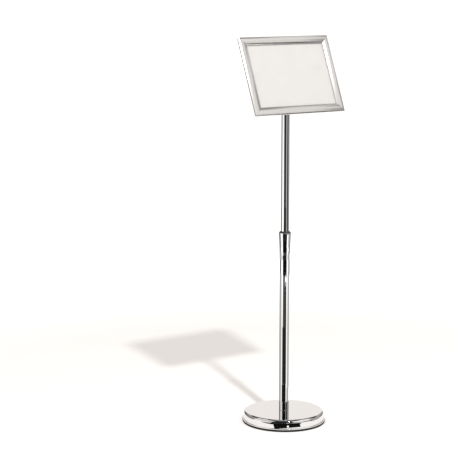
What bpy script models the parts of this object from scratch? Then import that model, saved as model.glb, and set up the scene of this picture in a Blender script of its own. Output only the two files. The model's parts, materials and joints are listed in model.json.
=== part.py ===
"""Telescopic floor sign stand with a tilting A4 snap frame.

Metres, +Z up. The origin is on the floor under the post, and the sign faces -Y.
"""

import math

import bmesh
import bpy
from mathutils import Matrix, Vector

GAP = 0.0003  # clearance between pieces that touch
BASE_SIDES = 64
POST_SIDES = 32
SMALL_SIDES = 20

# Base
BASE_RADIUS = 0.1255
RING_HEIGHT = 0.0074
COVER_RADIUS = 0.1250
COVER_WALL_RADIUS = 0.1218
COVER_TOP = 0.0340
COVER_SKIN = 0.0012
COVER_SHOULDER = 0.0100
WEIGHT_RADIUS = 0.1186
WEIGHT_TOP = 0.0200
BOLT_HOLE = 0.0055
BOLT_RADIUS = 0.0050

# Post
LOWER_RADIUS = 0.0150
LOWER_BORE = 0.0138
LOWER_TOP = 0.5350
UPPER_RADIUS = 0.0125
UPPER_BORE = 0.0113
UPPER_BOTTOM = 0.4450
COLLAR_BOTTOM = 0.5022
COLLAR_TOP = 0.5832
COLLAR_RADIUS = 0.0182

# Tilting head
HINGE_HEIGHT = 1.0450
TILT = math.radians(22.4)  # the sign's lean back from upright
TONGUE_HALF = 0.0080
EAR_GAP_HALF = 0.0101
EAR_THICKNESS = 0.0030
EAR_RADIUS = 0.0110
HINGE_BOLT_RADIUS = 0.0040
HINGE_HOLE = 0.0043
WASHER_THICKNESS = 0.0015
KNOB_RADIUS = 0.0160
KNOB_DEPTH = 0.0140
FORK_PLATE_RADIUS = 0.0240
DISC_RADIUS = 0.0340
DISC_SCREW_CIRCLE = 0.0290

# Snap frame, A4 landscape. Depths are measured from the frame's back face.
FRAME_WIDTH = 0.3270
FRAME_HEIGHT = 0.2400
FRAME_BACK = 0.0264  # from the tilt axis to the frame's back face
RAIL_WIDTH = 0.0250
MITRE_GAP = 0.00015
SHEET_WIDTH = 0.2970
SHEET_HEIGHT = 0.2100
BEAD_INSET = 0.0032  # from the rail's outer edge to the bead that the snap rail turns on
BEAD_DEPTH = 0.0046
BEAD_RADIUS = 0.0012
SNAP_OPEN = math.radians(95)

CHROME = ("chrome", (0.80, 0.80, 0.81), 1.0, 0.05)
CAST_IRON = ("cast_iron", (0.10, 0.10, 0.11), 1.0, 0.60)
RUBBER = ("black_rubber", (0.02, 0.02, 0.02), 0.0, 0.55)
ZINC = ("zinc_plate", (0.62, 0.63, 0.65), 1.0, 0.30)
BLACK_PLASTIC = ("black_plastic", (0.02, 0.02, 0.02), 0.0, 0.40)
NYLON = ("nylon", (0.75, 0.74, 0.70), 0.0, 0.45)
ALUMINIUM = ("satin_aluminium", (0.78, 0.79, 0.80), 1.0, 0.32)
SPRING_STEEL = ("spring_steel", (0.55, 0.56, 0.58), 1.0, 0.25)
PANEL = ("back_panel", (0.55, 0.56, 0.57), 0.0, 0.50)
PAPER = ("sheet_paper", (0.84, 0.83, 0.81), 0.0, 0.70)
CLEAR = ("clear_sheet", (0.95, 0.96, 0.97), 0.0, 0.10)


def clear_scene():
    for obj in list(bpy.data.objects):
        bpy.data.objects.remove(obj, do_unlink=True)


def new_collection(name):
    collection = bpy.data.collections.new(name)
    bpy.context.scene.collection.children.link(collection)
    return collection


def material_of(finish):
    """The finish's Principled material, made the first time it is asked for."""
    name, colour, metallic, roughness = finish
    material = bpy.data.materials.get(name)
    if material:
        return material
    material = bpy.data.materials.new(name)
    material.use_nodes = True
    shader = material.node_tree.nodes["Principled BSDF"]
    shader.inputs["Base Color"].default_value = (*colour, 1.0)
    shader.inputs["Metallic"].default_value = metallic
    shader.inputs["Roughness"].default_value = roughness
    return material


def place(name, mesh, finish, parent=None, matrix=None):
    """A part: its object in the stand's collection, with its finish and its place under its parent."""
    obj = bpy.data.objects.new(name, mesh)
    mesh.materials.append(material_of(finish))
    STAND.objects.link(obj)
    obj.parent = parent
    if matrix:
        obj.matrix_local = matrix
    return obj


def cutter(name, mesh, parent=None, matrix=None):
    obj = bpy.data.objects.new(name, mesh)
    CUTTERS.objects.link(obj)
    obj.parent = parent
    if matrix:
        obj.matrix_local = matrix
    obj.hide_render = True
    obj.display_type = "WIRE"
    return obj


def empty(name, parent=None, matrix=None):
    obj = bpy.data.objects.new(name, None)
    STAND.objects.link(obj)
    obj.parent = parent
    if matrix:
        obj.matrix_local = matrix
    return obj


def combine(obj, other, operation):
    modifier = obj.modifiers.new(f"{operation.title()} {other.name}", "BOOLEAN")
    modifier.operation = operation
    modifier.object = other


def arc(centre, radius, start, end, steps):
    """Points along an arc in the plane of an outline, from one angle to another in degrees."""
    points = []
    for step in range(steps + 1):
        angle = math.radians(start + (end - start) * step / steps)
        points.append((centre[0] + radius * math.cos(angle), centre[1] + radius * math.sin(angle)))
    return points


def shade_smooth(mesh, limit=35):
    mesh.shade_smooth()
    mesh.set_sharp_from_angle(angle=math.radians(limit))


def turned(name, finish, profile, sides=POST_SIDES, parent=None, matrix=None):
    """A turned part. The (radius, height) profile runs down the outer side, then back up the bore."""
    mesh = bpy.data.meshes.new(name)
    points = [(radius, 0.0, height) for radius, height in profile]
    edges = [(i, i + 1) for i in range(len(points) - 1)]
    if profile[0][0] > 0:
        edges.append((len(points) - 1, 0))
    mesh.from_pydata(points, edges, [])
    obj = place(name, mesh, finish, parent, matrix)
    screw = obj.modifiers.new("Turn", "SCREW")
    screw.steps = sides
    screw.render_steps = sides
    screw.use_merge_vertices = True
    screw.merge_threshold = 0.000001
    return obj


def rod_mesh(name, radius, length, sides=SMALL_SIDES):
    """A cylinder about Z that starts at the origin."""
    shape = bmesh.new()
    bmesh.ops.create_cone(
        shape,
        cap_ends=True,
        segments=sides,
        radius1=radius,
        radius2=radius,
        depth=length,
        matrix=Matrix.Translation((0, 0, length / 2)),
    )
    mesh = bpy.data.meshes.new(name)
    shape.to_mesh(mesh)
    shape.free()
    shade_smooth(mesh)
    return mesh


def box_mesh(name, size, centre=(0, 0, 0)):
    shape = bmesh.new()
    matrix = Matrix.Translation(centre) @ Matrix.Diagonal((*size, 1))
    bmesh.ops.create_cube(shape, size=1, matrix=matrix)
    mesh = bpy.data.meshes.new(name)
    shape.to_mesh(mesh)
    shape.free()
    return mesh


def sheet_mesh(name, outlines, thickness):
    """A flat piece in XY, centred on Z = 0. The outlines after the first are its holes."""
    curve = bpy.data.curves.new(name, "CURVE")
    curve.dimensions = "2D"
    curve.fill_mode = "BOTH"
    curve.extrude = thickness / 2
    for outline in outlines:
        spline = curve.splines.new("POLY")
        spline.points.add(len(outline) - 1)
        for point, (x, y) in zip(spline.points, outline):
            point.co = (x, y, 0, 1)
        spline.use_cyclic_u = True
    obj = bpy.data.objects.new(name, curve)
    bpy.context.scene.collection.objects.link(obj)
    graph = bpy.context.evaluated_depsgraph_get()
    mesh = bpy.data.meshes.new_from_object(obj.evaluated_get(graph))
    bpy.data.objects.remove(obj, do_unlink=True)
    bpy.data.curves.remove(curve)
    shape = bmesh.new()
    shape.from_mesh(mesh)
    bmesh.ops.remove_doubles(shape, verts=shape.verts, dist=0.000001)
    bmesh.ops.recalc_face_normals(shape, faces=shape.faces)
    shape.to_mesh(mesh)
    shape.free()
    shade_smooth(mesh)
    return mesh


def circle(radius, sides=SMALL_SIDES):
    return arc((0.0, 0.0), radius, 0, 360 * (sides - 1) / sides, sides - 1)


def bolt_mesh(name, head_radius, head_height, radius, length):
    """A hexagon bolt about Z: its head ends at the origin, and its shank runs up from there."""
    head = cutter(f"{name}_head", rod_mesh(f"{name}_head", head_radius, head_height, 6))
    shank = cutter(f"{name}_shank", rod_mesh(f"{name}_shank", radius, length + head_height / 2))
    head.location.z = -head_height
    shank.location.z = -head_height / 2
    combine(head, shank, "UNION")
    graph = bpy.context.evaluated_depsgraph_get()
    mesh = bpy.data.meshes.new_from_object(head.evaluated_get(graph))
    mesh.name = name
    mesh.transform(Matrix.Translation((0, 0, -head_height)))
    bpy.data.objects.remove(head, do_unlink=True)
    bpy.data.objects.remove(shank, do_unlink=True)
    shade_smooth(mesh)
    return mesh


def washer(name, radius, hole, thickness, parent=None, matrix=None):
    profile = [(hole, thickness), (radius, thickness), (radius, 0), (hole, 0)]
    return turned(name, ZINC, profile, SMALL_SIDES, parent, matrix)


def build_base():
    """The foot ring, the weight, the chromed cover and the bolt that holds the post."""
    ring_bottom = 0.003
    ring_inner = 0.104
    ring_step = 0.1196
    turned(
        "base_ring",
        RUBBER,
        [
            (ring_step, RING_HEIGHT),
            (BASE_RADIUS - 0.0006, RING_HEIGHT),
            (BASE_RADIUS, RING_HEIGHT - 0.0008),
            (BASE_RADIUS, 0.0008),
            (BASE_RADIUS - 0.0006, 0),
            (ring_inner, 0),
            (ring_inner, ring_bottom),
            (ring_step, ring_bottom),
        ],
        BASE_SIDES,
    )
    wall = COVER_WALL_RADIUS
    shoulder = (wall - COVER_SHOULDER, COVER_TOP - COVER_SHOULDER)
    lip = RING_HEIGHT + GAP
    outer = [(BOLT_HOLE, COVER_TOP)]
    outer += arc(shoulder, COVER_SHOULDER, 90, 4, 7)
    outer += [(wall + 0.0005, lip + 0.0034)]
    outer += arc((wall + 0.0026, lip + 0.0033), 0.0021, 190, 265, 3)
    outer += [(COVER_RADIUS, lip + 0.0010), (COVER_RADIUS, lip)]
    inner = [(wall + 0.0018, lip), (wall - 0.0009, lip + 0.0024)]
    inner += arc(shoulder, COVER_SHOULDER - COVER_SKIN, 4, 90, 5)
    inner += [(BOLT_HOLE, COVER_TOP - COVER_SKIN)]
    turned("base_cover", CHROME, outer + inner, BASE_SIDES)

    recess_radius = 0.014
    recess_top = 0.0136
    boss_radius = 0.030
    boss_top = COVER_TOP - COVER_SKIN - GAP
    floor = ring_bottom + GAP
    turned(
        "base_weight",
        CAST_IRON,
        [
            (BOLT_HOLE, boss_top),
            (boss_radius, boss_top),
            (boss_radius + 0.005, WEIGHT_TOP),
            (WEIGHT_RADIUS - 0.002, WEIGHT_TOP),
            (WEIGHT_RADIUS, WEIGHT_TOP - 0.002),
            (WEIGHT_RADIUS, floor),
            (recess_radius, floor),
            (recess_radius, recess_top),
            (BOLT_HOLE, recess_top),
        ],
        BASE_SIDES,
    )
    washer_top = recess_top - GAP
    washer("base_washer", 0.0125, BOLT_HOLE, 0.002, None, Matrix.Translation((0, 0, washer_top - 0.002)))
    bolt_seat = washer_top - 0.002 - GAP
    plug_bottom = COVER_TOP + GAP
    plug_top = 0.066
    thread_end = plug_top - 0.004
    mesh = bolt_mesh("base_bolt", 0.0098, 0.0064, BOLT_RADIUS, thread_end - GAP - bolt_seat)
    place("base_bolt", mesh, ZINC, None, Matrix.Translation((0, 0, bolt_seat)))
    plug_radius = LOWER_BORE - GAP
    plug_bore = BOLT_RADIUS + GAP
    turned(
        "foot_plug",
        BLACK_PLASTIC,
        [
            (0, plug_top),
            (plug_radius - 0.001, plug_top),
            (plug_radius, plug_top - 0.001),
            (plug_radius, plug_bottom),
            (plug_bore, plug_bottom),
            (plug_bore, thread_end),
            (0, thread_end),
        ],
    )
    turned(
        "lower_tube",
        CHROME,
        [
            (LOWER_BORE, LOWER_TOP),
            (LOWER_RADIUS, LOWER_TOP),
            (LOWER_RADIUS, plug_bottom),
            (LOWER_BORE, plug_bottom),
        ],
    )


def build_clutch():
    """The insert, the split collet and the turning collar that clamps the upper tube."""
    seat_top = 0.5560
    seat_bore = UPPER_RADIUS + 0.00025
    seat_head = LOWER_RADIUS - GAP
    seat_flange = LOWER_TOP + GAP
    seat_bottom = LOWER_TOP - 0.030
    seat_shank = LOWER_BORE - 0.00025
    turned(
        "collar_seat",
        NYLON,
        [
            (seat_bore, seat_top),
            (seat_head, seat_top),
            (seat_head, seat_flange),
            (seat_shank, seat_flange),
            (seat_shank, seat_bottom),
            (seat_bore, seat_bottom),
        ],
    )
    collet_bottom = seat_top + GAP
    collet_top = collet_bottom + 0.0132
    collet_bore = UPPER_RADIUS + GAP
    collet = turned(
        "split_collet",
        NYLON,
        [(collet_bore, collet_top), (0.0134, collet_top), (0.0149, collet_bottom), (collet_bore, collet_bottom)],
    )
    slot = box_mesh("collet_slot", (0.02, 0.0016, 0.04), (0.02, 0, collet_bottom))
    combine(collet, cutter("collet_slot", slot), "DIFFERENCE")

    bore = LOWER_RADIUS + GAP
    throat = UPPER_RADIUS + 0.0009
    cone_bottom = seat_top + 0.0009
    cone_top = collet_top + 0.0015
    outer = [(throat, COLLAR_TOP), (COLLAR_RADIUS - 0.0006, COLLAR_TOP)]
    outer += [(COLLAR_RADIUS, COLLAR_TOP - 0.0008)]
    flare_top = COLLAR_TOP - 0.004
    flare_bottom = 0.529
    waist = 0.0161
    for step in range(6):
        part = step / 5
        radius = waist + (COLLAR_RADIUS - waist) * (1 - part) ** 1.4
        outer.append((radius, flare_top + (flare_bottom - flare_top) * part))
    outer += [(0.0157, COLLAR_BOTTOM + 0.0006), (0.0155, COLLAR_BOTTOM)]
    inner = [(bore, COLLAR_BOTTOM), (bore, cone_bottom), (0.01375, cone_top), (throat, cone_top + 0.0004)]
    turned("clutch_collar", CHROME, outer + inner)
    ring_bottom = COLLAR_TOP + GAP
    ring_top = COLLAR_TOP + 0.0052
    turned(
        "collar_ring",
        BLACK_PLASTIC,
        [
            (UPPER_RADIUS + GAP, ring_top),
            (UPPER_RADIUS + 0.0010, ring_top),
            (COLLAR_RADIUS - 0.0003, ring_bottom + 0.0010),
            (COLLAR_RADIUS - 0.0003, ring_bottom),
            (UPPER_RADIUS + GAP, ring_bottom),
        ],
    )


def build_upper_post():
    """The guide bush, the upper tube and the plug that carries the hinge tongue."""
    bush_radius = LOWER_BORE - GAP
    spigot = UPPER_BORE - GAP
    shoulder = UPPER_BOTTOM - GAP
    bush_bottom = shoulder - 0.0177
    bush_top = UPPER_BOTTOM + 0.022
    bush_bore = 0.007
    turned(
        "guide_bush",
        NYLON,
        [
            (bush_bore, bush_top),
            (spigot - 0.001, bush_top),
            (spigot, bush_top - 0.001),
            (spigot, shoulder),
            (bush_radius, shoulder),
            (bush_radius, bush_bottom + 0.001),
            (bush_radius - 0.001, bush_bottom),
            (bush_bore, bush_bottom),
        ],
    )
    plug_shoulder = HINGE_HEIGHT - 0.020
    tube_top = plug_shoulder - 0.002 - GAP
    turned(
        "upper_tube",
        CHROME,
        [
            (UPPER_BORE, tube_top),
            (UPPER_RADIUS, tube_top),
            (UPPER_RADIUS, UPPER_BOTTOM),
            (UPPER_BORE, UPPER_BOTTOM),
        ],
    )
    plug = turned(
        "head_plug",
        BLACK_PLASTIC,
        [
            (0, plug_shoulder),
            (UPPER_RADIUS - 0.0005, plug_shoulder),
            (UPPER_RADIUS, plug_shoulder - 0.0005),
            (UPPER_RADIUS, plug_shoulder - 0.002),
            (spigot, plug_shoulder - 0.002),
            (spigot, plug_shoulder - 0.030),
            (0, plug_shoulder - 0.030),
        ],
    )
    root = plug_shoulder - HINGE_HEIGHT - 0.001
    outline = [(-EAR_RADIUS, root), (EAR_RADIUS, root)] + arc((0, 0), EAR_RADIUS, 0, 180, 12)
    tongue = sheet_mesh("tongue", [outline, circle(HINGE_HOLE)], 2 * TONGUE_HALF)
    upright = Matrix.Rotation(math.pi / 2, 4, "Z") @ Matrix.Rotation(math.pi / 2, 4, "X")
    at_hinge = Matrix.Translation((0, 0, HINGE_HEIGHT))
    combine(plug, cutter("tongue", tongue, None, at_hinge @ upright), "UNION")


def build_hinge(tilt_axis):
    """The fork with its round plate, and the bolt, washers and knob on the tilt axis."""
    plate_front = FRAME_BACK - 0.0021
    plate_back = plate_front - 0.0025
    fork = turned(
        "tilt_fork",
        ZINC,
        [
            (HINGE_HOLE, plate_front),
            (FORK_PLATE_RADIUS, plate_front),
            (FORK_PLATE_RADIUS, plate_back),
            (HINGE_HOLE, plate_back),
        ],
        parent=tilt_axis,
    )
    # The ears' outline is drawn across the frame's height and depth, and stands along X.
    root = plate_back + 0.001
    outline = [(EAR_RADIUS, root), (-EAR_RADIUS, root)] + arc((0, 0), EAR_RADIUS, 180, 360, 12)
    upright = Matrix.Rotation(math.pi / 2, 4, "Z") @ Matrix.Rotation(math.pi / 2, 4, "X")
    for side, name in ((-1, "ear_left"), (1, "ear_right")):
        ear = sheet_mesh(name, [outline, circle(HINGE_HOLE)], EAR_THICKNESS)
        offset = Matrix.Translation((side * (EAR_GAP_HALF + EAR_THICKNESS / 2), 0, 0))
        combine(fork, cutter(name, ear, tilt_axis, offset @ upright), "UNION")

    along_x = Matrix.Rotation(math.pi / 2, 4, "Y")
    ear_outside = EAR_GAP_HALF + EAR_THICKNESS
    head_seat = -ear_outside - GAP
    knob_washer_at = ear_outside + GAP
    knob_at = knob_washer_at + WASHER_THICKNESS + GAP
    bolt_end = knob_at + KNOB_DEPTH - 0.002
    mesh = bolt_mesh("hinge_bolt", 0.0075, 0.0053, HINGE_BOLT_RADIUS, bolt_end - head_seat)
    place("hinge_bolt", mesh, ZINC, tilt_axis, Matrix.Translation((head_seat, 0, 0)) @ along_x)
    inner_at = TONGUE_HALF + GAP
    for name, at, radius in (
        ("hinge_washer_left", -inner_at - WASHER_THICKNESS, 0.0095),
        ("hinge_washer_right", inner_at, 0.0095),
        ("knob_washer", knob_washer_at, 0.0090),
    ):
        washer(name, radius, HINGE_HOLE, WASHER_THICKNESS, tilt_axis, Matrix.Translation((at, 0, 0)) @ along_x)

    lobes = []
    steps = 48
    for step in range(steps):
        angle = 2 * math.pi * step / steps
        radius = KNOB_RADIUS - 0.0012 + 0.0012 * math.cos(6 * angle)
        lobes.append((radius * math.cos(angle), radius * math.sin(angle)))
    mesh = sheet_mesh("tilt_knob", [lobes], KNOB_DEPTH)
    knob_middle = knob_at + KNOB_DEPTH / 2
    knob = place("tilt_knob", mesh, BLACK_PLASTIC, tilt_axis, Matrix.Translation((knob_middle, 0, 0)) @ along_x)
    hole = rod_mesh("knob_hole", HINGE_HOLE, KNOB_DEPTH)
    hole_place = Matrix.Translation((bolt_end + GAP - KNOB_DEPTH, 0, 0)) @ along_x
    combine(knob, cutter("knob_hole", hole, tilt_axis, hole_place), "DIFFERENCE")

    washer_back = plate_back - GAP - 0.001
    washer("turn_washer", 0.0080, HINGE_HOLE, 0.001, tilt_axis, Matrix.Translation((0, 0, washer_back)))
    head_front = washer_back - GAP
    head_back = head_front - 0.0023
    pivot_end = FRAME_BACK + 0.0007
    turned(
        "turn_pivot",
        ZINC,
        [
            (0, pivot_end),
            (HINGE_BOLT_RADIUS, pivot_end),
            (HINGE_BOLT_RADIUS, head_front),
            (0.0070, head_front),
            (0.0070, head_back + 0.0008),
            (0.0060, head_back),
            (0, head_back),
        ],
        SMALL_SIDES,
        tilt_axis,
    )


def build_mount_disc(frame_back):
    """The disc on the frame's back, with four screws into the back panel."""
    disc_back = -0.0018
    disc_front = 0.0010
    disc = turned(
        "mount_disc",
        ZINC,
        [
            (HINGE_HOLE, disc_front),
            (DISC_RADIUS, disc_front),
            (DISC_RADIUS, disc_back),
            (HINGE_HOLE, disc_back),
        ],
        parent=frame_back,
    )
    panel_back = disc_front + GAP
    panel_front = panel_back + 0.0020
    mesh = box_mesh(
        "back_panel", (SHEET_WIDTH, SHEET_HEIGHT, panel_front - panel_back), (0, 0, (panel_back + panel_front) / 2)
    )
    panel = place("back_panel", mesh, PANEL, frame_back)
    head_front = disc_back - GAP
    head_back = head_front - 0.0020
    for number in range(4):
        angle = math.radians(45 + 90 * number)
        spot = Vector((math.cos(angle), math.sin(angle), 0)) * DISC_SCREW_CIRCLE
        matrix = Matrix.Translation(spot)
        turned(
            f"disc_screw_{number + 1}",
            ZINC,
            [
                (0, panel_front - GAP),
                (0.0016, panel_front - GAP),
                (0.0016, head_front),
                (0.0032, head_front),
                (0.0032, head_front - 0.0008),
                (0.0022, head_back),
                (0, head_back),
            ],
            12,
            frame_back,
            matrix,
        )
        hole_name = f"screw_hole_{number + 1}"
        matrix = Matrix.Translation(spot + Vector((0, 0, -0.006)))
        hole = cutter(hole_name, rod_mesh(hole_name, 0.0019, 0.012, 12), frame_back, matrix)
        combine(disc, hole, "DIFFERENCE")
        combine(panel, hole, "DIFFERENCE")
    return panel_front


def build_sheets(frame_back, panel_front):
    sheet_back = panel_front + GAP
    sheet_thickness = 0.0003
    size = (SHEET_WIDTH, SHEET_HEIGHT, sheet_thickness)
    mesh = box_mesh("sign_sheet", size, (0, 0, sheet_back + sheet_thickness / 2))
    place("sign_sheet", mesh, PAPER, frame_back)
    cover_back = sheet_back + sheet_thickness + GAP
    cover_thickness = 0.0005
    size = (SHEET_WIDTH, SHEET_HEIGHT, cover_thickness)
    mesh = box_mesh("clear_cover", size, (0, 0, cover_back + cover_thickness / 2))
    place("clear_cover", mesh, CLEAR, frame_back)


def mitre(inset, depth):
    return inset


def snap_mitre(inset, depth):
    """The mitre of a snap rail, cut back so that it also clears the next rail when both are open."""
    across = inset - BEAD_INSET
    above = depth - BEAD_DEPTH
    return max(inset, BEAD_INSET + across * math.cos(SNAP_OPEN) - above * math.sin(SNAP_OPEN))


def rail_mesh(name, section, half_length, origin, cut):
    """A mitred rail along X. The (inset, depth) section is measured from the outer edge and back."""
    shape = bmesh.new()
    ring = [shape.verts.new((0, inset, depth)) for inset, depth in section]
    face = shape.faces.new(ring)
    made = bmesh.ops.extrude_face_region(shape, geom=[face])["geom"]
    moved = {item for item in made if isinstance(item, bmesh.types.BMVert)}
    for vert in shape.verts:
        side = 1 if vert in moved else -1
        vert.co.x = side * (half_length - MITRE_GAP - cut(vert.co.y, vert.co.z))
        vert.co.y -= origin[0]
        vert.co.z -= origin[1]
    bmesh.ops.recalc_face_normals(shape, faces=shape.faces)
    mesh = bpy.data.meshes.new(name)
    shape.to_mesh(mesh)
    shape.free()
    shade_smooth(mesh, 30)
    return mesh


def base_section():
    """The fixed rail: a floor strip, a stop for the panel, and an arm that ends in the hinge bead."""
    inner_edge = RAIL_WIDTH - 0.0010
    strip = 0.0010
    stop = (0.0132, 0.0144)
    stop_top = 0.0035
    riser = (0.0062, 0.0074)
    arm = (0.0037, 0.0050)
    outer_edge = 0.0022
    section = [(outer_edge, 0), (inner_edge, 0), (inner_edge, strip)]
    section += [(stop[1], strip), (stop[1], stop_top), (stop[0], stop_top), (stop[0], strip)]
    section += [(riser[1], strip), (riser[1], arm[1]), (riser[1] - 0.0006, arm[1] + 0.0002)]
    section += arc((BEAD_INSET, BEAD_DEPTH), BEAD_RADIUS, 30, 310, 8)
    section += [(riser[0], arm[0]), (riser[0], strip), (outer_edge, strip)]
    return section


def snap_section():
    """The moving rail: a skirt, a convex face, a lip that holds the sheets, and two inner ribs."""
    skin = 0.0013
    skirt_bottom = 0.0040
    lip_bottom = 0.0050
    centre = (0.0130, -0.0098)
    radius = 0.0212
    ribs = ((0.0096, 0.0086, 0.0083), (0.0037, 0.0027, BEAD_DEPTH + BEAD_RADIUS + GAP))

    def depth_at(inset, size):
        return centre[1] + math.sqrt(size**2 - (inset - centre[0]) ** 2)

    section = [(0, skirt_bottom), (0, 0.0068)]
    for step in range(11):
        inset = 0.0008 + (RAIL_WIDTH - 0.0016) * step / 10
        section.append((inset, depth_at(inset, radius)))
    section += [(RAIL_WIDTH, 0.0070), (RAIL_WIDTH, lip_bottom), (RAIL_WIDTH - skin, lip_bottom)]
    section += [(inset, depth_at(inset, radius - skin)) for inset in (0.0236, 0.0190, 0.0140)]
    for start, end, bottom in ribs:
        section += [(start, depth_at(start, radius - skin)), (start, bottom)]
        section += [(end, bottom), (end, depth_at(end, radius - skin))]
    section += [(skin, depth_at(skin, radius - skin)), (skin, skirt_bottom)]
    return section


def build_frame(frame_back):
    """Four sides of the snap frame: the fixed rail, the snap rail and its two springs."""
    sides = (
        ("bottom", 0, FRAME_WIDTH, FRAME_HEIGHT),
        ("right", 90, FRAME_HEIGHT, FRAME_WIDTH),
        ("top", 180, FRAME_WIDTH, FRAME_HEIGHT),
        ("left", 270, FRAME_HEIGHT, FRAME_WIDTH),
    )
    for side, turn, length, across in sides:
        turned_to = Matrix.Rotation(math.radians(turn), 4, "Z")
        edge = turned_to @ Matrix.Translation((0, -across / 2, 0))
        mesh = rail_mesh(f"base_rail_{side}", base_section(), length / 2, (0, 0), mitre)
        place(f"base_rail_{side}", mesh, ALUMINIUM, frame_back, edge)
        bead = (BEAD_INSET, BEAD_DEPTH)
        mesh = rail_mesh(f"snap_rail_{side}", snap_section(), length / 2, bead, snap_mitre)
        place(f"snap_rail_{side}", mesh, ALUMINIUM, frame_back, edge @ Matrix.Translation((0, *bead)))
        for number, along in ((1, -0.25), (2, 0.25)):
            spring = spring_mesh(f"spring_{side}_{number}")
            shift = Matrix.Translation((along * length, 0, 0))
            place(f"spring_{side}_{number}", spring, SPRING_STEEL, frame_back, edge @ shift)


def spring_mesh(name):
    """A bowed strip between the snap rail's catch and the foot of the fixed rail's stop."""
    width = 0.030
    thickness = 0.0005
    centre = (0.0078, 0.0030)
    radius = 0.0046
    outline = arc(centre, radius, 80, -18, 7) + arc(centre, radius - thickness, -18, 80, 7)
    mesh = sheet_mesh(name, [outline], width)
    # The outline lies in XY, so it is stood up: inset along Y, depth along Z, width along X.
    mesh.transform(Matrix(((0, 0, 1, 0), (1, 0, 0, 0), (0, 1, 0, 0), (0, 0, 0, 1))))
    return mesh


def build_corner_keys(frame_back):
    """Plastic L keys that lie in the channels of two neighbouring fixed rails."""
    near = 0.0078
    far = 0.0128
    arm = 0.034
    thickness = 0.0015
    outline = [(near, near), (arm, near), (arm, far), (far, far), (far, arm), (near, arm)]
    corners = ((-1, -1, 0), (1, -1, 90), (1, 1, 180), (-1, 1, 270))
    for number, (across, up, turn) in enumerate(corners, 1):
        mesh = sheet_mesh(f"corner_key_{number}", [outline], thickness)
        corner = Matrix.Translation((across * FRAME_WIDTH / 2, up * FRAME_HEIGHT / 2, 0.0013 + thickness / 2))
        matrix = corner @ Matrix.Rotation(math.radians(turn), 4, "Z")
        place(f"corner_key_{number}", mesh, BLACK_PLASTIC, frame_back, matrix)


def main():
    build_base()
    build_clutch()
    build_upper_post()
    # Under the tilt axis, X runs across the sign, Y up it, and Z out of its face.
    lean = Matrix.Rotation(math.pi / 2 - TILT, 4, "X")
    tilt_axis = empty("tilt_axis", None, Matrix.Translation((0, 0, HINGE_HEIGHT)) @ lean)
    build_hinge(tilt_axis)
    frame_back = empty("turn_axis", tilt_axis, Matrix.Translation((0, 0, FRAME_BACK)))
    panel_front = build_mount_disc(frame_back)
    build_sheets(frame_back, panel_front)
    build_frame(frame_back)
    build_corner_keys(frame_back)


clear_scene()
STAND = new_collection("sign_stand")
CUTTERS = new_collection("cutters")
main()
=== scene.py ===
"""Telescopic floor sign stand: chromed base and post, turning clutch, tilting snap frame.

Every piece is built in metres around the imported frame, in place, and rides on one of its bodies.
"""

import json
import math

import bmesh
import bpy
from bpy.props import FloatProperty, FloatVectorProperty, IntProperty, PointerProperty
from mathutils import Matrix, Vector


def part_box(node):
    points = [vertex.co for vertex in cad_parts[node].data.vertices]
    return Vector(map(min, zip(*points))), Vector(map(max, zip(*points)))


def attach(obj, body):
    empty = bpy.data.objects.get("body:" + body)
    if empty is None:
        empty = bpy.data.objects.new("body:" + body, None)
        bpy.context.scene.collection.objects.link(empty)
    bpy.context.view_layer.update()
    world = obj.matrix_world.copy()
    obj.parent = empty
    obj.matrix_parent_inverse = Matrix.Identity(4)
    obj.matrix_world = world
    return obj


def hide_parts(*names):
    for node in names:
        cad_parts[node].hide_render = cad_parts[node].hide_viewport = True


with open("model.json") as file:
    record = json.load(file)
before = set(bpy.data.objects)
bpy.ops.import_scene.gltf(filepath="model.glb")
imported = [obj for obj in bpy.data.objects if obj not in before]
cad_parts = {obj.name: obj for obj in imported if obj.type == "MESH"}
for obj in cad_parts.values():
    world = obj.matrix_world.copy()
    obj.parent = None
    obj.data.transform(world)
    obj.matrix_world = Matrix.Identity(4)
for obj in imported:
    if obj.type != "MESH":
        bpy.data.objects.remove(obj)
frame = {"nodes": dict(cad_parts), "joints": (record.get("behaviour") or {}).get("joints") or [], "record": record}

bl_info = {
    "name": "Sign stand",
    "version": (1, 0, 0),
    "blender": (4, 5, 0),
    "location": "3D View > Sidebar > Sign stand",
    "description": "Builds a telescopic sign stand with a tilting snap frame, and its studio",
    "category": "Add Mesh",
}

MM = 0.001
TINY = 0.000001
FULL_TURN = 2 * math.pi
TUBE_SEGMENTS = 128
BASE_SEGMENTS = 256
SMALL_SEGMENTS = 48
SCREW_SEGMENTS = 32
SCREW_HOLE = 1.9 * MM

JOINTS = {joint["name"]: joint for joint in frame["joints"]}
BODY_OF = {
    node: body
    for body, nodes in frame["record"]["behaviour"]["bodies"].items()
    for node in nodes
}

# The sign's own space: X across it, Y up it and Z out of its face, from the tilt axis.
HINGE = Vector(JOINTS["frame_tilt"]["pos_m"])
FACE = Vector(JOINTS["frame_turn"]["axis"]).normalized()
ACROSS = Vector((1, 0, 0))
SIGN_TURN = Matrix((ACROSS, FACE.cross(ACROSS), FACE)).transposed().to_4x4()
SIGN = Matrix.Translation(HINGE) @ SIGN_TURN
ALONG_X = Matrix.Rotation(math.pi / 2, 4, "Y")
# Stands an outline drawn in XY in YZ, with its thickness along X.
UPRIGHT = Matrix(((0, 0, 1, 0), (1, 0, 0, 0), (0, 1, 0, 0), (0, 0, 0, 1)))


def span(nodes, space=SIGN):
    """The lowest and highest corners of CAD nodes at rest, measured in a space."""
    back = space.inverted()
    points = [back @ vert.co for node in nodes for vert in frame["nodes"][node].data.vertices]
    lowest = Vector(min(point[axis] for point in points) for axis in range(3))
    highest = Vector(max(point[axis] for point in points) for axis in range(3))
    return lowest, highest


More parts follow.
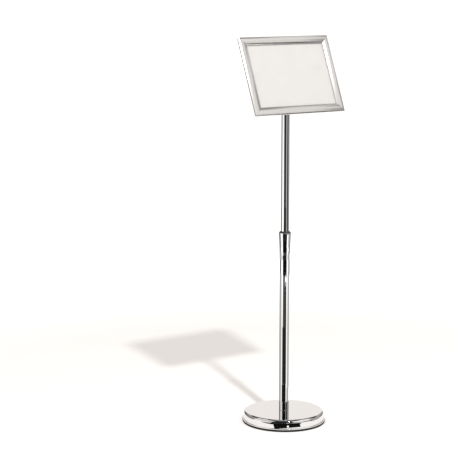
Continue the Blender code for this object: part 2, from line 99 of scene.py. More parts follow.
SIDES = ("bottom", "right", "top", "left")
FRAME_LOW, FRAME_HIGH = span([f"snap_rail_{side}" for side in SIDES])
FRAME_WIDTH = FRAME_HIGH.x - FRAME_LOW.x
FRAME_HEIGHT = FRAME_HIGH.y - FRAME_LOW.y
BACK_PLANE = span([f"base_rail_{side}" for side in SIDES])[0].z
FRAME = SIGN @ Matrix.Translation((0, 0, BACK_PLANE))


# Settings ---------------------------------------------------------------------------------


def length(name, description, default):
    return FloatProperty(
        name=name, description=description, default=default, min=0, precision=5, unit="LENGTH"
    )


def angle(name, description, degrees):
    return FloatProperty(
        name=name, description=description, default=math.radians(degrees), subtype="ANGLE"
    )


def factor(name, description, default, highest=10.0):
    return FloatProperty(name=name, description=description, default=default, min=0, max=highest)


def colour(name, description, default):
    return FloatVectorProperty(
        name=name, description=description, default=default, min=0, max=1, subtype="COLOR"
    )


class BaseSettings(bpy.types.PropertyGroup):
    """Sizes of the weighted base."""

    shoulder: length("Shoulder", "Radius of the cover's rolled shoulder", 10 * MM)
    wall: length("Wall", "Radius of the cover's upright wall", 121.8 * MM)
    skin: length("Skin", "Thickness of the spun steel cover", 1.2 * MM)
    lip: length("Lip", "Thickness of the cover's lip above the foot ring", 1.0 * MM)
    rim_bottom: length("Rim", "Height to which the lip is turned down round the ring", 6.2 * MM)
    bolt_hole: length("Bolt hole", "Radius of the hole for the centre bolt", 5.5 * MM)
    ring_inner: length("Ring inside", "Inner radius of the rubber foot ring", 104 * MM)
    ring_step: length("Ring step", "Radius of the step that centres the cover", 119.6 * MM)
    ring_floor: length("Ring floor", "Thickness of the ring under the weight", 3 * MM)


class PostSettings(bpy.types.PropertyGroup):
    """Sizes of the two tubes and the clutch between them."""

    wall: length("Tube wall", "Wall thickness of both tubes", 1.2 * MM)
    waist: length("Collar waist", "Radius of the collar where its flare begins", 16.1 * MM)
    waist_height: length("Waist height", "Height of the waist above the floor", 529 * MM)
    flare: factor("Flare", "How late the collar widens towards its top", 1.4)
    throat: length("Throat", "Radius of the collar's opening for the upper tube", 13.4 * MM)
    thread_pitch: length("Thread pitch", "Pitch of the clutch thread", 1.5 * MM)


class HeadSettings(bpy.types.PropertyGroup):
    """Sizes of the tilting head."""

    hinge_hole: length("Hinge hole", "Radius of the holes on the tilt axis", 4.3 * MM)
    bolt: length("Bolt", "Radius of the hinge bolt", 4.0 * MM)
    ear: length("Ear", "Thickness of the fork's ears", 3.0 * MM)
    tongue: length("Tongue", "Half the thickness of the tongue between the ears", 8.0 * MM)
    lobes: IntProperty(name="Lobes", description="Grip lobes round the knob", default=6, min=3)
    lobe_depth: length("Lobe depth", "How far the grip dips between two lobes", 2.4 * MM)
    screw_circle: length("Screw circle", "Radius of the circle of disc screws", 29 * MM)


class RailSettings(bpy.types.PropertyGroup):
    """Sizes of the snap frame's rails, measured from their outer edge and the frame's back."""

    crown: length("Crown", "Radius of the snap rail's convex face", 21.2 * MM)
    crown_inset: length("Crown inset", "Distance of the crown's centre from the edge", 13 * MM)
    skin: length("Skin", "Wall thickness of the snap rail", 1.3 * MM)
    bead: length("Bead", "Radius of the bead that a snap rail turns on", 1.2 * MM)
    mitre_gap: length("Mitre gap", "Half the gap at each mitred corner", 0.15 * MM)
    mitre_edge: length("Mitre edge", "Width of the broken edge along each mitre", 0.25 * MM)


class FinishSettings(bpy.types.PropertyGroup):
    """Colours of the stand's finishes."""

    chrome: colour("Chrome", "Bright chrome plating", (0.80, 0.80, 0.805))
    aluminium: colour("Aluminium", "Satin anodised aluminium", (0.66, 0.66, 0.655))
    paper: colour("Sheet", "Blank sign sheet", (0.381, 0.369, 0.359))
    rubber: colour("Rubber", "Foot ring", (0.009, 0.009, 0.009))
    plastic: colour("Black plastic", "Knob, plugs and corner keys", (0.020, 0.020, 0.021))
    nylon: colour("Nylon", "Clutch insert, collet and bush", (0.75, 0.74, 0.70))
    panel: colour("Back panel", "Stiff plastic panel", (0.50, 0.51, 0.52))
    zinc: colour("Zinc", "Zinc-plated steel fittings", (0.62, 0.63, 0.65))
    iron: colour("Cast iron", "Base weight", (0.10, 0.10, 0.11))
    spring: colour("Spring steel", "Snap springs", (0.55, 0.56, 0.58))


class StageSettings(bpy.types.PropertyGroup):
    """Camera, key light and the white room's light. Camera, lights and the cards that
    the chrome reflects.
    """

    camera_distance: length("Camera distance", "Level distance from the post", 4.6046)
    camera_side: angle("Camera side", "Turn of the camera round the post", -36.9)
    camera_height: length("Camera height", "Height of the lens above the floor", 1.3491)
    camera_pan: angle("Camera pan", "Turn of the lens away from the post", 2.128)
    camera_pitch: angle("Camera pitch", "How far the lens looks down", 9.28)
    camera_lens: factor("Lens", "Focal length in millimetres", 122.57, 500)
    key_side: angle("Key side", "Turn of the key light round the post", -17)
    key_distance: length("Key distance", "Level distance of the key light from the post", 3.33)
    key_height: length("Key height", "Height of the key light above the floor", 4.5)
    key_power: factor("Key power", "Power of the key light in watts", 725, 5000)
    key_radius: length("Key radius", "Radius of the key light's lamp head", 0.13)
    room: factor("Room light", "Brightness of the white room", 1.0)
    room_colour: colour("Room colour", "Tint of the room's light", (1.0, 0.957, 0.92))


SETTINGS = {
    "stand_base": BaseSettings,
    "stand_post": PostSettings,
    "stand_head": HeadSettings,
    "stand_rails": RailSettings,
    "stand_finish": FinishSettings,
    "stand_stage": StageSettings,
}


# Modelling --------------------------------------------------------------------------------


def arc(centre, radius, start, end, steps):
    """Outline points along an arc, from one angle to another in degrees."""
    points = []
    for step in range(steps + 1):
        turn = math.radians(start + (end - start) * step / steps)
        points.append((centre[0] + radius * math.cos(turn), centre[1] + radius * math.sin(turn), 0))
    return points


def rounded(corners, closed=True, steps=5, support=0.3 * MM):
    """An outline's points. Each (x, y, radius) corner becomes an arc, with a point on both flats
    close to it, so that the shading of the flats stays true."""
    points = []
    last = len(corners) - 1
    for number, (x, y, radius) in enumerate(corners):
        here = Vector((x, y))
        if radius <= 0 or (not closed and number in (0, last)):
            points.append(here)
            continue
        before = Vector(corners[number - 1][:2]) - here
        after = Vector(corners[(number + 1) % len(corners)][:2]) - here
        half = before.angle(after) / 2
        reach = min(radius / math.tan(half), 0.45 * before.length, 0.45 * after.length)
        before_way = before.normalized()
        after_way = after.normalized()
        centre = here + (before_way + after_way).normalized() * reach / math.cos(half)
        start = here + before_way * reach - centre
        end = here + after_way * reach - centre
        sweep = start.angle(end)
        if before.length > 2 * (reach + support):
            points.append(here + before_way * (reach + support))
        for step in range(steps + 1):
            share = step / steps
            mix = start * math.sin((1 - share) * sweep) + end * math.sin(share * sweep)
            points.append(centre + mix / math.sin(sweep))
        if after.length > 2 * (reach + support):
            points.append(here + after_way * (reach + support))
    return points


def lathe(outline, segments=TUBE_SEGMENTS, closed=True):
    """A shape turned about Z from (radius, height) points."""
    shape = bmesh.new()
    verts = [shape.verts.new((point[0], 0, point[1])) for point in outline]
    edges = [shape.edges.new(pair) for pair in zip(verts, verts[1:])]
    if closed:
        edges.append(shape.edges.new((verts[-1], verts[0])))
    bmesh.ops.spin(
        shape,
        geom=verts + edges,
        cent=(0, 0, 0),
        axis=(0, 0, 1),
        dvec=(0, 0, 0),
        angle=FULL_TURN,
        steps=segments,
        use_merge=True,
    )
    bmesh.ops.remove_doubles(shape, verts=shape.verts, dist=TINY)
    bmesh.ops.recalc_face_normals(shape, faces=shape.faces)
    return shape


def bevel(shape, edges, offset, segments=3):
    bmesh.ops.bevel(
        shape,
        geom=edges,
        offset=offset,
        offset_type="OFFSET",
        segments=segments,
        profile=0.5,
        affect="EDGES",
        clamp_overlap=True,
        material=-1,
    )


def plate(outline, low, high, edge=0.0, segments=3):
    """A flat piece in XY between two heights, with its rims broken by a small radius."""
    shape = bmesh.new()
    face = shape.faces.new([shape.verts.new((point[0], point[1], low)) for point in outline])
    made = bmesh.ops.extrude_face_region(shape, geom=[face])["geom"]
    top = [item for item in made if isinstance(item, bmesh.types.BMVert)]
    bmesh.ops.translate(shape, vec=(0, 0, high - low), verts=top)
    bmesh.ops.recalc_face_normals(shape, faces=shape.faces)
    if edge:
        rims = [item for item in shape.edges if abs(item.verts[0].co.z - item.verts[1].co.z) < TINY]
        bevel(shape, rims, edge, segments)
    return shape


def ring(inner, outer, low, high, edge, steps=5, segments=TUBE_SEGMENTS):
    """A ring about Z with a rectangular section and broken edges."""
    corners = [(inner, high, edge), (outer, high, edge), (outer, low, edge), (inner, low, edge)]
    return lathe(rounded(corners, steps=steps), segments)


def washer(hole, radius, low, high):
    edge = min(0.35 * MM, 0.3 * (high - low))
    return ring(hole, radius, low, high, edge, 3, SMALL_SEGMENTS)


def block(sizes, place):
    """A rectangular block about a place's origin."""
    shape = bmesh.new()
    bmesh.ops.create_cube(shape, size=1, matrix=place @ Matrix.Diagonal((*sizes, 1)))
    return shape


def rod(radius, low, high, segments=SMALL_SEGMENTS):
    shape = bmesh.new()
    middle = Matrix.Translation((0, 0, (low + high) / 2))
    bmesh.ops.create_cone(
        shape,
        cap_ends=True,
        segments=segments,
        radius1=radius,
        radius2=radius,
        depth=high - low,
        matrix=middle,
    )
    return shape


def moved(shape, matrix):
    bmesh.ops.transform(shape, matrix=matrix, verts=shape.verts)
    return shape


def joined(shape, tool, operation="UNION"):
    """One bmesh from two, by a Boolean. It uses both of them up."""
    work = []
    for part in (shape, tool):
        mesh = bpy.data.meshes.new("work")
        part.to_mesh(mesh)
        part.free()
        obj = bpy.data.objects.new("work", mesh)
        bpy.context.scene.collection.objects.link(obj)
        work.append(obj)
    boolean = work[0].modifiers.new("Join", "BOOLEAN")
    boolean.operation = operation
    boolean.object = work[1]
    graph = bpy.context.evaluated_depsgraph_get()
    result = bmesh.new()
    result.from_object(work[0], graph)
    for obj in work:
        mesh = obj.data
        bpy.data.objects.remove(obj)
        bpy.data.meshes.remove(mesh)
    return result


def cut(shape, tool):
    return joined(shape, tool, "DIFFERENCE")


def threaded(radius, low, high, pitch, depth):
    """Outline points up a thread's crests and roots, from low to high."""
    points = []
    crest_start = 0.4 * pitch
    crest_end = 0.6 * pitch
    turns = int((high - low) / pitch)
    start = high - turns * pitch
    for turn in range(turns):
        bottom = start + turn * pitch
        points.append((radius - depth, bottom, 0))
        points += [(radius, bottom + crest_start, 0), (radius, bottom + crest_end, 0)]
    return points


def mark_edges(shape):
    """Stores how sharply the surface turns at each point, for the wear in the finishes."""
    flattest = math.radians(7)
    sharpest = math.radians(35)
    layer = shape.verts.layers.float.new("edge")
    for vert in shape.verts:
        turn = max((abs(edge.calc_face_angle(0)) for edge in vert.link_edges), default=0)
        vert[layer] = min(1, max(0, (turn - flattest) / (sharpest - flattest)))


def piece(name, shape, finish, node, matrix=None, sharp=38, weighted=True):
    """A finished piece: it stands for its CAD node and rides on that node's body."""
    if matrix:
        moved(shape, matrix)
    mark_edges(shape)
    mesh = bpy.data.meshes.new(name)
    shape.to_mesh(mesh)
    shape.free()
    mesh.materials.append(finish["material"])
    mesh.shade_smooth()
    mesh.set_sharp_from_angle(angle=math.radians(sharp))
    obj = bpy.data.objects.new(name, mesh)
    bpy.context.scene.collection.objects.link(obj)
    if weighted:
        normals = obj.modifiers.new("Face weighted shading", "WEIGHTED_NORMAL")
        normals.keep_sharp = True
    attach(obj, BODY_OF[node])
    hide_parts(node)


# Shader groups ----------------------------------------------------------------------------


# A Mix node's colour sockets share their names with its other sockets, so they go by number.
COLOUR_A = 6
COLOUR_B = 7
COLOUR_OUT = 2


def feed(tree, socket, value):
    """Links an input to another node's output, or sets its value."""
    if isinstance(value, bpy.types.NodeSocket):
        tree.links.new(value, socket)
    else:
        socket.default_value = value


def add(tree, kind, links=None, **settings):
    """A node with its settings made, and its inputs linked or set."""
    made = tree.nodes.new(kind)
    made.location = (220 * (len(tree.nodes) % 8), -260 * (len(tree.nodes) // 8))
    for key, value in settings.items():
        setattr(made, key, value)
    for key, value in (links or {}).items():
        feed(tree, made.inputs[key], value)
    return made


def math_node(tree, operation, first, second=0.0, clamp=False):
    made = add(tree, "ShaderNodeMath", {0: first, 1: second}, operation=operation, use_clamp=clamp)
    return made.outputs[0]


def remap(tree, value, low, high, to_low=0.0, to_high=1.0):
    """The value's low..high range stretched onto another, smoothly and within its ends."""
    made = add(
        tree,
        "ShaderNodeMapRange",
        {"Value": value, "From Min": low, "From Max": high, "To Min": to_low, "To Max": to_high},
        interpolation_type="SMOOTHSTEP",
    )
    return made.outputs["Result"]


def stretched(tree, vector, factors):
    """The vector multiplied by another, axis by axis."""
    made = add(tree, "ShaderNodeVectorMath", {0: vector, 1: factors}, operation="MULTIPLY")
    return made.outputs[0]


def scaled(tree, vector, scale):
    """The vector multiplied by one number."""
    made = add(tree, "ShaderNodeVectorMath", {0: vector, "Scale": scale}, operation="SCALE")
    return made.outputs[0]


def turned(tree, vector, rotation):
    made = add(tree, "ShaderNodeMapping", {"Vector": vector, "Rotation": rotation})
    return made.outputs[0]


def combined(tree, operation, values):
    """All the values added, or the highest of them, as the operation says."""
    total = values[0]
    for value in values[1:]:
        total = math_node(tree, operation, total, value)
    return total


def noise(tree, vector, scale, detail=2.0, roughness=0.5):
    links = {"Vector": vector, "Scale": scale, "Detail": detail, "Roughness": roughness}
    return add(tree, "ShaderNodeTexNoise", links).outputs["Fac"]


def group(name, inputs, outputs, build):
    """A shader node group, built the first time it is asked for."""
    tree = bpy.data.node_groups.get(name)
    if tree:
        return tree
    tree = bpy.data.node_groups.new(name, "ShaderNodeTree")
    for socket, kind, default in inputs:
        made = tree.interface.new_socket(socket, in_out="INPUT", socket_type=kind)
        if default is not None:
            made.default_value = default
    for socket in outputs:
        tree.interface.new_socket(socket, in_out="OUTPUT", socket_type="NodeSocketFloat")
    entry = tree.nodes.new("NodeGroupInput")
    exit_node = tree.nodes.new("NodeGroupOutput")
    for socket, value in build(tree, entry.outputs).items():
        tree.links.new(value, exit_node.inputs[socket])
    return tree


VECTOR = ("Vector", "NodeSocketVector", None)


def scalar(name, default):
    return (name, "NodeSocketFloat", default)


def drawn_lines():
    """Fine straight lines along X, as an extrusion die or a brush leaves them."""

    def build(tree, given):
        links = {"X": given["Along"], "Y": given["Across"], "Z": given["Across"]}
        factors = add(tree, "ShaderNodeCombineXYZ", links).outputs[0]
        place = stretched(tree, given["Vector"], factors)
        fine = noise(tree, place, 1.0, 3.0, 0.65)
        broad = noise(tree, place, 0.13, 1.0)
        both = math_node(tree, "MULTIPLY_ADD", fine, 0.7)
        tree.links.new(math_node(tree, "MULTIPLY", broad, 0.3), both.node.inputs[2])
        return {"Height": both, "Streaks": remap(tree, broad, 0.38, 0.66)}

    inputs = [VECTOR, scalar("Along", 12.0), scalar("Across", 3000.0)]
    return group("Drawn lines", inputs, ["Height", "Streaks"], build)


def turned_lines():
    """Fine rings about Z, as a lathe or a polishing wheel leaves them."""

    def build(tree, given):
        parts = add(tree, "ShaderNodeSeparateXYZ", {0: given["Vector"]}).outputs
        level = add(tree, "ShaderNodeCombineXYZ", {"X": parts["X"], "Y": parts["Y"]}).outputs[0]
        reach = add(tree, "ShaderNodeVectorMath", {0: level}, operation="LENGTH").outputs["Value"]
        way = add(tree, "ShaderNodeVectorMath", {0: level}, operation="NORMALIZE").outputs[0]
        ways = add(tree, "ShaderNodeSeparateXYZ", {0: way}).outputs
        ring = math_node(tree, "MULTIPLY", math_node(tree, "ADD", reach, parts["Z"]), given["Scale"])
        place = add(tree, "ShaderNodeCombineXYZ", {"X": ring, "Y": ways["X"], "Z": ways["Y"]})
        fine = noise(tree, place.outputs[0], 1.0, 2.0, 0.6)
        return {"Height": fine, "Streaks": remap(tree, fine, 0.5, 0.75)}

    inputs = [VECTOR, scalar("Scale", 2500.0)]
    return group("Turned lines", inputs, ["Height", "Streaks"], build)


def hairline_scratches():
    """Sparse thin scratches in many directions."""

    def build(tree, given):
        masks = []
        for turn in (0.35, 1.45, 2.6):
            place = turned(tree, given["Vector"], (turn, turn, turn))
            place = stretched(tree, place, (0.12, 1.0, 1.0))
            place = scaled(tree, place, given["Scale"])
            links = {"Vector": place, "Scale": 1.0}
            cells = add(tree, "ShaderNodeTexVoronoi", links, feature="DISTANCE_TO_EDGE")
            line = remap(tree, cells.outputs["Distance"], 0.0, 0.012, 1.0, 0.0)
            here = remap(tree, noise(tree, place, 0.35), 0.55, 0.68)
            masks.append(math_node(tree, "MULTIPLY", line, here))
        total = combined(tree, "ADD", masks)
        return {"Mask": math_node(tree, "MULTIPLY", total, given["Amount"], True)}

    inputs = [VECTOR, scalar("Scale", 60.0), scalar("Amount", 1.0)]
    return group("Hairline scratches", inputs, ["Mask"], build)


def handling_marks():
    """Faint prints and wipe marks where hands touch."""

    def build(tree, given):
        place = scaled(tree, given["Vector"], given["Scale"])
        patches = remap(tree, noise(tree, place, 1.0, 1.0), 0.54, 0.70)
        links = {"Vector": place, "Scale": 9.0, "Distortion": 5.0, "Detail": 1.0, "Detail Scale": 0.6}
        ridges = add(tree, "ShaderNodeTexWave", links).outputs["Fac"]
        wiped = remap(tree, noise(tree, place, 3.0, 3.0), 0.35, 0.75, 0.3, 1.0)
        print_mask = math_node(tree, "MULTIPLY", patches, remap(tree, ridges, 0.2, 0.8, 0.45, 1.0))
        print_mask = math_node(tree, "MULTIPLY", print_mask, wiped)
        return {"Mask": math_node(tree, "MULTIPLY", print_mask, given["Amount"], True)}

    inputs = [VECTOR, scalar("Scale", 30.0), scalar("Amount", 0.5)]
    return group("Handling marks", inputs, ["Mask"], build)


def settled_dust():
    """Fine specks and a thin film on the faces that look up."""

    def build(tree, given):
        facing = add(tree, "ShaderNodeNewGeometry").outputs["Normal"]
        upward = remap(tree, add(tree, "ShaderNodeSeparateXYZ", {0: facing}).outputs["Z"], 0.3, 0.95)
        specks = remap(tree, noise(tree, given["Vector"], 2600.0, 1.0), 0.70, 0.80)
        film = remap(tree, noise(tree, given["Vector"], 25.0, 4.0), 0.35, 0.80, 0.0, 0.35)
        both = math_node(tree, "MAXIMUM", specks, film)
        lying = math_node(tree, "MULTIPLY", both, upward)
        return {"Mask": math_node(tree, "MULTIPLY", lying, given["Amount"], True)}

    return group("Settled dust", [VECTOR, scalar("Amount", 0.2)], ["Mask"], build)


def edge_wear():
    """Rubbed edges, broken up by a noise."""

    def build(tree, given):
        edge = add(tree, "ShaderNodeAttribute", attribute_name="edge").outputs["Fac"]
        broken = remap(tree, noise(tree, given["Vector"], given["Scale"], 4.0, 0.6), 0.38, 0.62)
        worn = math_node(tree, "MULTIPLY", remap(tree, edge, 0.1, 0.8), broken)
        return {"Mask": math_node(tree, "MULTIPLY", worn, given["Amount"], True)}

    inputs = [VECTOR, scalar("Scale", 220.0), scalar("Amount", 0.5)]
    return group("Edge wear", inputs, ["Mask"], build)


def moulded_skin():
    """The fine pebbled skin of a moulded or cast part."""

    def build(tree, given):
        links = {"Vector": given["Vector"], "Scale": given["Scale"]}
        cells = add(tree, "ShaderNodeTexVoronoi", links, feature="SMOOTH_F1").outputs["Distance"]
        soft = noise(tree, given["Vector"], given["Scale"], 3.0)
        flow = noise(tree, given["Vector"], math_node(tree, "MULTIPLY", given["Scale"], 0.04), 2.0)
        return {"Height": math_node(tree, "ADD", cells, soft), "Mottle": flow}

    return group("Moulded skin", [VECTOR, scalar("Scale", 1800.0)], ["Height", "Mottle"], build)


def paper_fibre():
    """Short crossing fibres and the cloudy formation of an uncoated sheet."""

    def build(tree, given):
        layers = []
        for turn in (0.4, 1.5, 2.7):
            place = turned(tree, given["Vector"], (0, 0, turn))
            place = stretched(tree, place, (0.22, 1.0, 1.0))
            layers.append(noise(tree, place, given["Scale"], 2.0, 0.6))
        mixed = combined(tree, "MAXIMUM", layers)
        cloud = noise(tree, given["Vector"], 60.0, 4.0, 0.6)
        return {"Height": mixed, "Cloud": cloud}

    return group("Paper fibre", [VECTOR, scalar("Scale", 2400.0)], ["Height", "Cloud"], build)


# Finishes ---------------------------------------------------------------------------------


class Finish:
    """A Principled material that is being wired, with its coordinates."""

    def __init__(self, name, metallic=0.0, turn=None, **constants):
        self.material = bpy.data.materials.new(name)
        self.material.use_nodes = True
        self.tree = self.material.node_tree
        self.shader = self.tree.nodes["Principled BSDF"]
        self.shader.inputs["Metallic"].default_value = metallic
        for key, value in constants.items():
            socket = key.replace("_", " ").title().replace("Ior", "IOR")
            self.shader.inputs[socket].default_value = value
        place = add(self.tree, "ShaderNodeTexCoord").outputs["Object"]
        if turn is not None:
            links = {"Vector": place, "Location": HINGE, "Rotation": turn.to_euler("XYZ")}
            place = add(self.tree, "ShaderNodeMapping", links, vector_type="TEXTURE").outputs[0]
        self.place = place

    def effect(self, tree, **values):
        links = {"Vector": self.place}
        links.update({key.title(): value for key, value in values.items()})
        made = self.tree.nodes.new("ShaderNodeGroup")
        made.node_tree = tree
        made.location = (-400, -220 * len(self.tree.nodes))
        for key, value in links.items():
            feed(self.tree, made.inputs[key], value)
        return made.outputs

    def mask(self, tree, **values):
        return self.effect(tree, **values)["Mask"]

    def colours(self, base, *layers):
        """The base colour with (mask, colour) layers over it."""
        under = (*base, 1.0)
        for mask, over in layers:
            links = {"Factor": mask, COLOUR_A: under, COLOUR_B: (*over, 1.0)}
            under = add(self.tree, "ShaderNodeMix", links, data_type="RGBA").outputs[COLOUR_OUT]
        self.tree.links.new(under, self.shader.inputs["Base Color"])

    def roughness(self, base, *layers):
        """The roughness, raised or lowered where each mask is."""
        total = base
        for mask, change in layers:
            part = math_node(self.tree, "MULTIPLY", mask, change)
            total = math_node(self.tree, "ADD", total, part)
        floor = math_node(self.tree, "MAXIMUM", total, 0.02)
        self.tree.links.new(floor, self.shader.inputs["Roughness"])

    def bumps(self, *layers):
        """Bump nodes one over the other, from (height, depth in metres) layers."""
        normal = None
        for height, depth in layers:
            links = {"Height": height, "Distance": depth, "Strength": 1.0}
            if normal:
                links["Normal"] = normal
            normal = add(self.tree, "ShaderNodeBump", links).outputs[0]
        self.tree.links.new(normal, self.shader.inputs["Normal"])


FINISHES = {}


def finish(name):
    """A finish by name: its material, made once, and the record's slot."""
    if name not in FINISHES:
        build, slot = MAKERS[name]
        FINISHES[name] = {"material": build(name), "slot": slot}
    return FINISHES[name]


def chrome(name):
    made = Finish(name, metallic=1.0)
    base = bpy.context.scene.stand_finish.chrome
    rings = made.effect(turned_lines(), scale=2200.0)
    scratch = made.mask(hairline_scratches(), scale=42.0, amount=0.7)
    prints = made.mask(handling_marks(), scale=26.0, amount=0.45)
    dust = made.mask(settled_dust(), amount=0.10)
    made.colours(base, (prints, (0.76, 0.76, 0.755)), (dust, (0.70, 0.69, 0.67)))
    made.roughness(0.035, (rings["Streaks"], 0.015), (prints, 0.05), (scratch, 0.10), (dust, 0.12))
    made.bumps((rings["Height"], 0.0000002), (scratch, -0.000001))
    return made.material


def cast_iron(name):
    made = Finish(name, metallic=1.0)
    base = bpy.context.scene.stand_finish.iron
    skin = made.effect(moulded_skin(), scale=900.0)
    wear = made.mask(edge_wear(), scale=160.0, amount=0.6)
    dust = made.mask(settled_dust(), amount=0.3)
    mottle = remap(made.tree, skin["Mottle"], 0.4, 0.7)
    made.colours(
        base,
        (mottle, (0.14, 0.125, 0.115)),
        (wear, (0.24, 0.24, 0.25)),
        (dust, (0.3, 0.29, 0.27)),
    )
    made.roughness(0.58, (mottle, 0.12), (wear, -0.2))
    made.bumps((skin["Height"], 0.00012))
    return made.material


def rubber(name):
    made = Finish(name, specular_ior_level=0.2)
    base = bpy.context.scene.stand_finish.rubber
    skin = made.effect(moulded_skin(), scale=2400.0)
    scuff = made.mask(edge_wear(), scale=300.0, amount=0.35)
    dust = made.mask(settled_dust(), amount=0.12)
    made.colours(base, (scuff, (0.035, 0.034, 0.032)), (dust, (0.10, 0.095, 0.09)))
    made.roughness(0.50, (skin["Mottle"], 0.10), (scuff, 0.15))
    made.bumps((skin["Height"], 0.00002))
    return made.material


def black_plastic(name):
    made = Finish(name)
    base = bpy.context.scene.stand_finish.plastic
    skin = made.effect(moulded_skin(), scale=2800.0)
    wear = made.mask(edge_wear(), scale=420.0, amount=0.45)
    prints = made.mask(handling_marks(), scale=60.0, amount=0.4)
    dust = made.mask(settled_dust(), amount=0.15)
    made.colours(base, (wear, (0.07, 0.07, 0.072)), (dust, (0.16, 0.155, 0.15)))
    made.roughness(0.36, (wear, 0.12), (prints, -0.10), (skin["Mottle"], 0.06))
    made.bumps((skin["Height"], 0.000012))
    return made.material


def nylon(name):
    made = Finish(name, subsurface_weight=0.15)
    base = bpy.context.scene.stand_finish.nylon
    skin = made.effect(moulded_skin(), scale=1500.0)
    rings = made.effect(turned_lines(), scale=1400.0)
    grease = made.mask(handling_marks(), scale=45.0, amount=0.6)
    made.colours(base, (grease, (0.52, 0.50, 0.44)), (rings["Streaks"], (0.80, 0.79, 0.76)))
    made.roughness(0.44, (grease, -0.16), (skin["Mottle"], 0.08))
    made.bumps((skin["Height"], 0.000010), (rings["Height"], 0.000004))
    return made.material


def panel_plastic(name):
    made = Finish(name, turn=SIGN_TURN)
    base = bpy.context.scene.stand_finish.panel
    skin = made.effect(moulded_skin(), scale=1300.0)
    lines = made.effect(drawn_lines(), along=20.0, across=900.0)
    scratch = made.mask(hairline_scratches(), scale=35.0, amount=0.6)
    wear = made.mask(edge_wear(), scale=200.0, amount=0.4)
    mottle = remap(made.tree, skin["Mottle"], 0.35, 0.7)
    made.colours(
        base,
        (mottle, (0.47, 0.48, 0.49)),
        (scratch, (0.62, 0.62, 0.63)),
        (wear, (0.60, 0.60, 0.61)),
    )
    made.roughness(0.46, (mottle, 0.08), (scratch, 0.10))
    made.bumps((skin["Height"], 0.000016), (lines["Height"], 0.000005))
    return made.material


def zinc_plate(name):
    made = Finish(name, metallic=1.0)
    base = bpy.context.scene.stand_finish.zinc
    skin = made.effect(moulded_skin(), scale=320.0)
    scratch = made.mask(hairline_scratches(), scale=70.0, amount=0.8)
    wear = made.mask(edge_wear(), scale=260.0, amount=0.7)
    spangle = remap(made.tree, skin["Mottle"], 0.38, 0.64)
    prints = made.mask(handling_marks(), scale=50.0, amount=0.5)
    made.colours(
        base,
        (spangle, (0.56, 0.585, 0.62)),
        (prints, (0.60, 0.58, 0.52)),
        (wear, (0.74, 0.74, 0.75)),
    )
    made.roughness(0.27, (spangle, 0.08), (scratch, 0.12), (wear, -0.06))
    made.bumps((skin["Height"], 0.00002), (scratch, -0.000004))
    return made.material


def spring_steel(name):
    made = Finish(name, metallic=1.0, turn=SIGN_TURN)
    base = bpy.context.scene.stand_finish.spring
    lines = made.effect(drawn_lines(), along=30.0, across=2600.0)
    skin = made.effect(moulded_skin(), scale=500.0)
    tint = remap(made.tree, skin["Mottle"], 0.45, 0.7)
    made.colours(base, (tint, (0.50, 0.44, 0.36)), (lines["Streaks"], (0.60, 0.61, 0.63)))
    made.roughness(0.24, (lines["Streaks"], 0.10), (tint, 0.06))
    made.bumps((lines["Height"], 0.000004))
    return made.material


def aluminium_along(turn):
    """Satin anodised aluminium whose drawn lines run along a rail."""

    def build(name):
        made = Finish(name, metallic=1.0, turn=turn)
        base = bpy.context.scene.stand_finish.aluminium
        lines = made.effect(drawn_lines(), along=9.0, across=2400.0)
        skin = made.effect(moulded_skin(), scale=5200.0)
        scratch = made.mask(hairline_scratches(), scale=46.0, amount=0.5)
        prints = made.mask(handling_marks(), scale=34.0, amount=0.5)
        wear = made.mask(edge_wear(), scale=300.0, amount=0.5)
        dust = made.mask(settled_dust(), amount=0.12)
        made.colours(
            base,
            (lines["Streaks"], (0.69, 0.69, 0.685)),
            (prints, (0.62, 0.62, 0.61)),
            (wear, (0.76, 0.76, 0.755)),
            (dust, (0.60, 0.595, 0.58)),
        )
        made.roughness(0.22, (lines["Streaks"], 0.04), (prints, 0.05), (scratch, -0.06), (wear, -0.06))
        made.bumps((lines["Height"], 0.0000035), (skin["Height"], 0.0000012), (scratch, -0.000003))
        return made.material

    return build


def sheet_paper(name):
    made = Finish(name, turn=SIGN_TURN, specular_ior_level=0.25)
    base = bpy.context.scene.stand_finish.paper
    fibre = made.effect(paper_fibre(), scale=2400.0)
    cloud = remap(made.tree, fibre["Cloud"], 0.35, 0.70)
    strands = remap(made.tree, fibre["Height"], 0.62, 0.78)
    soft = tuple(part * 0.975 for part in base)
    bright = tuple(min(1.0, part * 1.04) for part in base)
    made.colours(base, (cloud, soft), (strands, bright))
    made.roughness(0.72, (strands, 0.08), (cloud, 0.05))
    made.bumps((fibre["Height"], 0.000012))
    return made.material


def clear_sheet(name):
    made = Finish(name, turn=SIGN_TURN, alpha=0.2)
    base = (0.90, 0.90, 0.89)
    skin = made.effect(moulded_skin(), scale=3200.0)
    scratch = made.mask(hairline_scratches(), scale=40.0, amount=0.6)
    prints = made.mask(handling_marks(), scale=22.0, amount=0.6)
    made.colours(base, (scratch, (1.0, 1.0, 1.0)), (prints, (0.84, 0.84, 0.82)))
    made.roughness(0.26, (prints, 0.12), (scratch, 0.15))
    made.bumps((skin["Height"], 0.0000030))
    return made.material


MAKERS = {
    "chrome": (chrome, "chrome"),
    "cast_iron": (cast_iron, "cast_iron"),
    "rubber": (rubber, "rubber"),
    "black_plastic": (black_plastic, "black_plastic"),
    "nylon": (nylon, "nylon"),
    "panel_plastic": (panel_plastic, "panel_plastic"),
    "zinc_plate": (zinc_plate, "zinc_plate"),
    "spring_steel": (spring_steel, "spring_steel"),
    "aluminium_level": (aluminium_along(SIGN_TURN), "aluminium"),
    "aluminium_upright": (
        aluminium_along(SIGN_TURN @ Matrix.Rotation(math.pi / 2, 4, "Z")),
        "aluminium",
    ),
    "sheet_paper": (sheet_paper, "paper"),
    "clear_sheet": (clear_sheet, "clear_sheet"),
}


# Base -------------------------------------------------------------------------------------


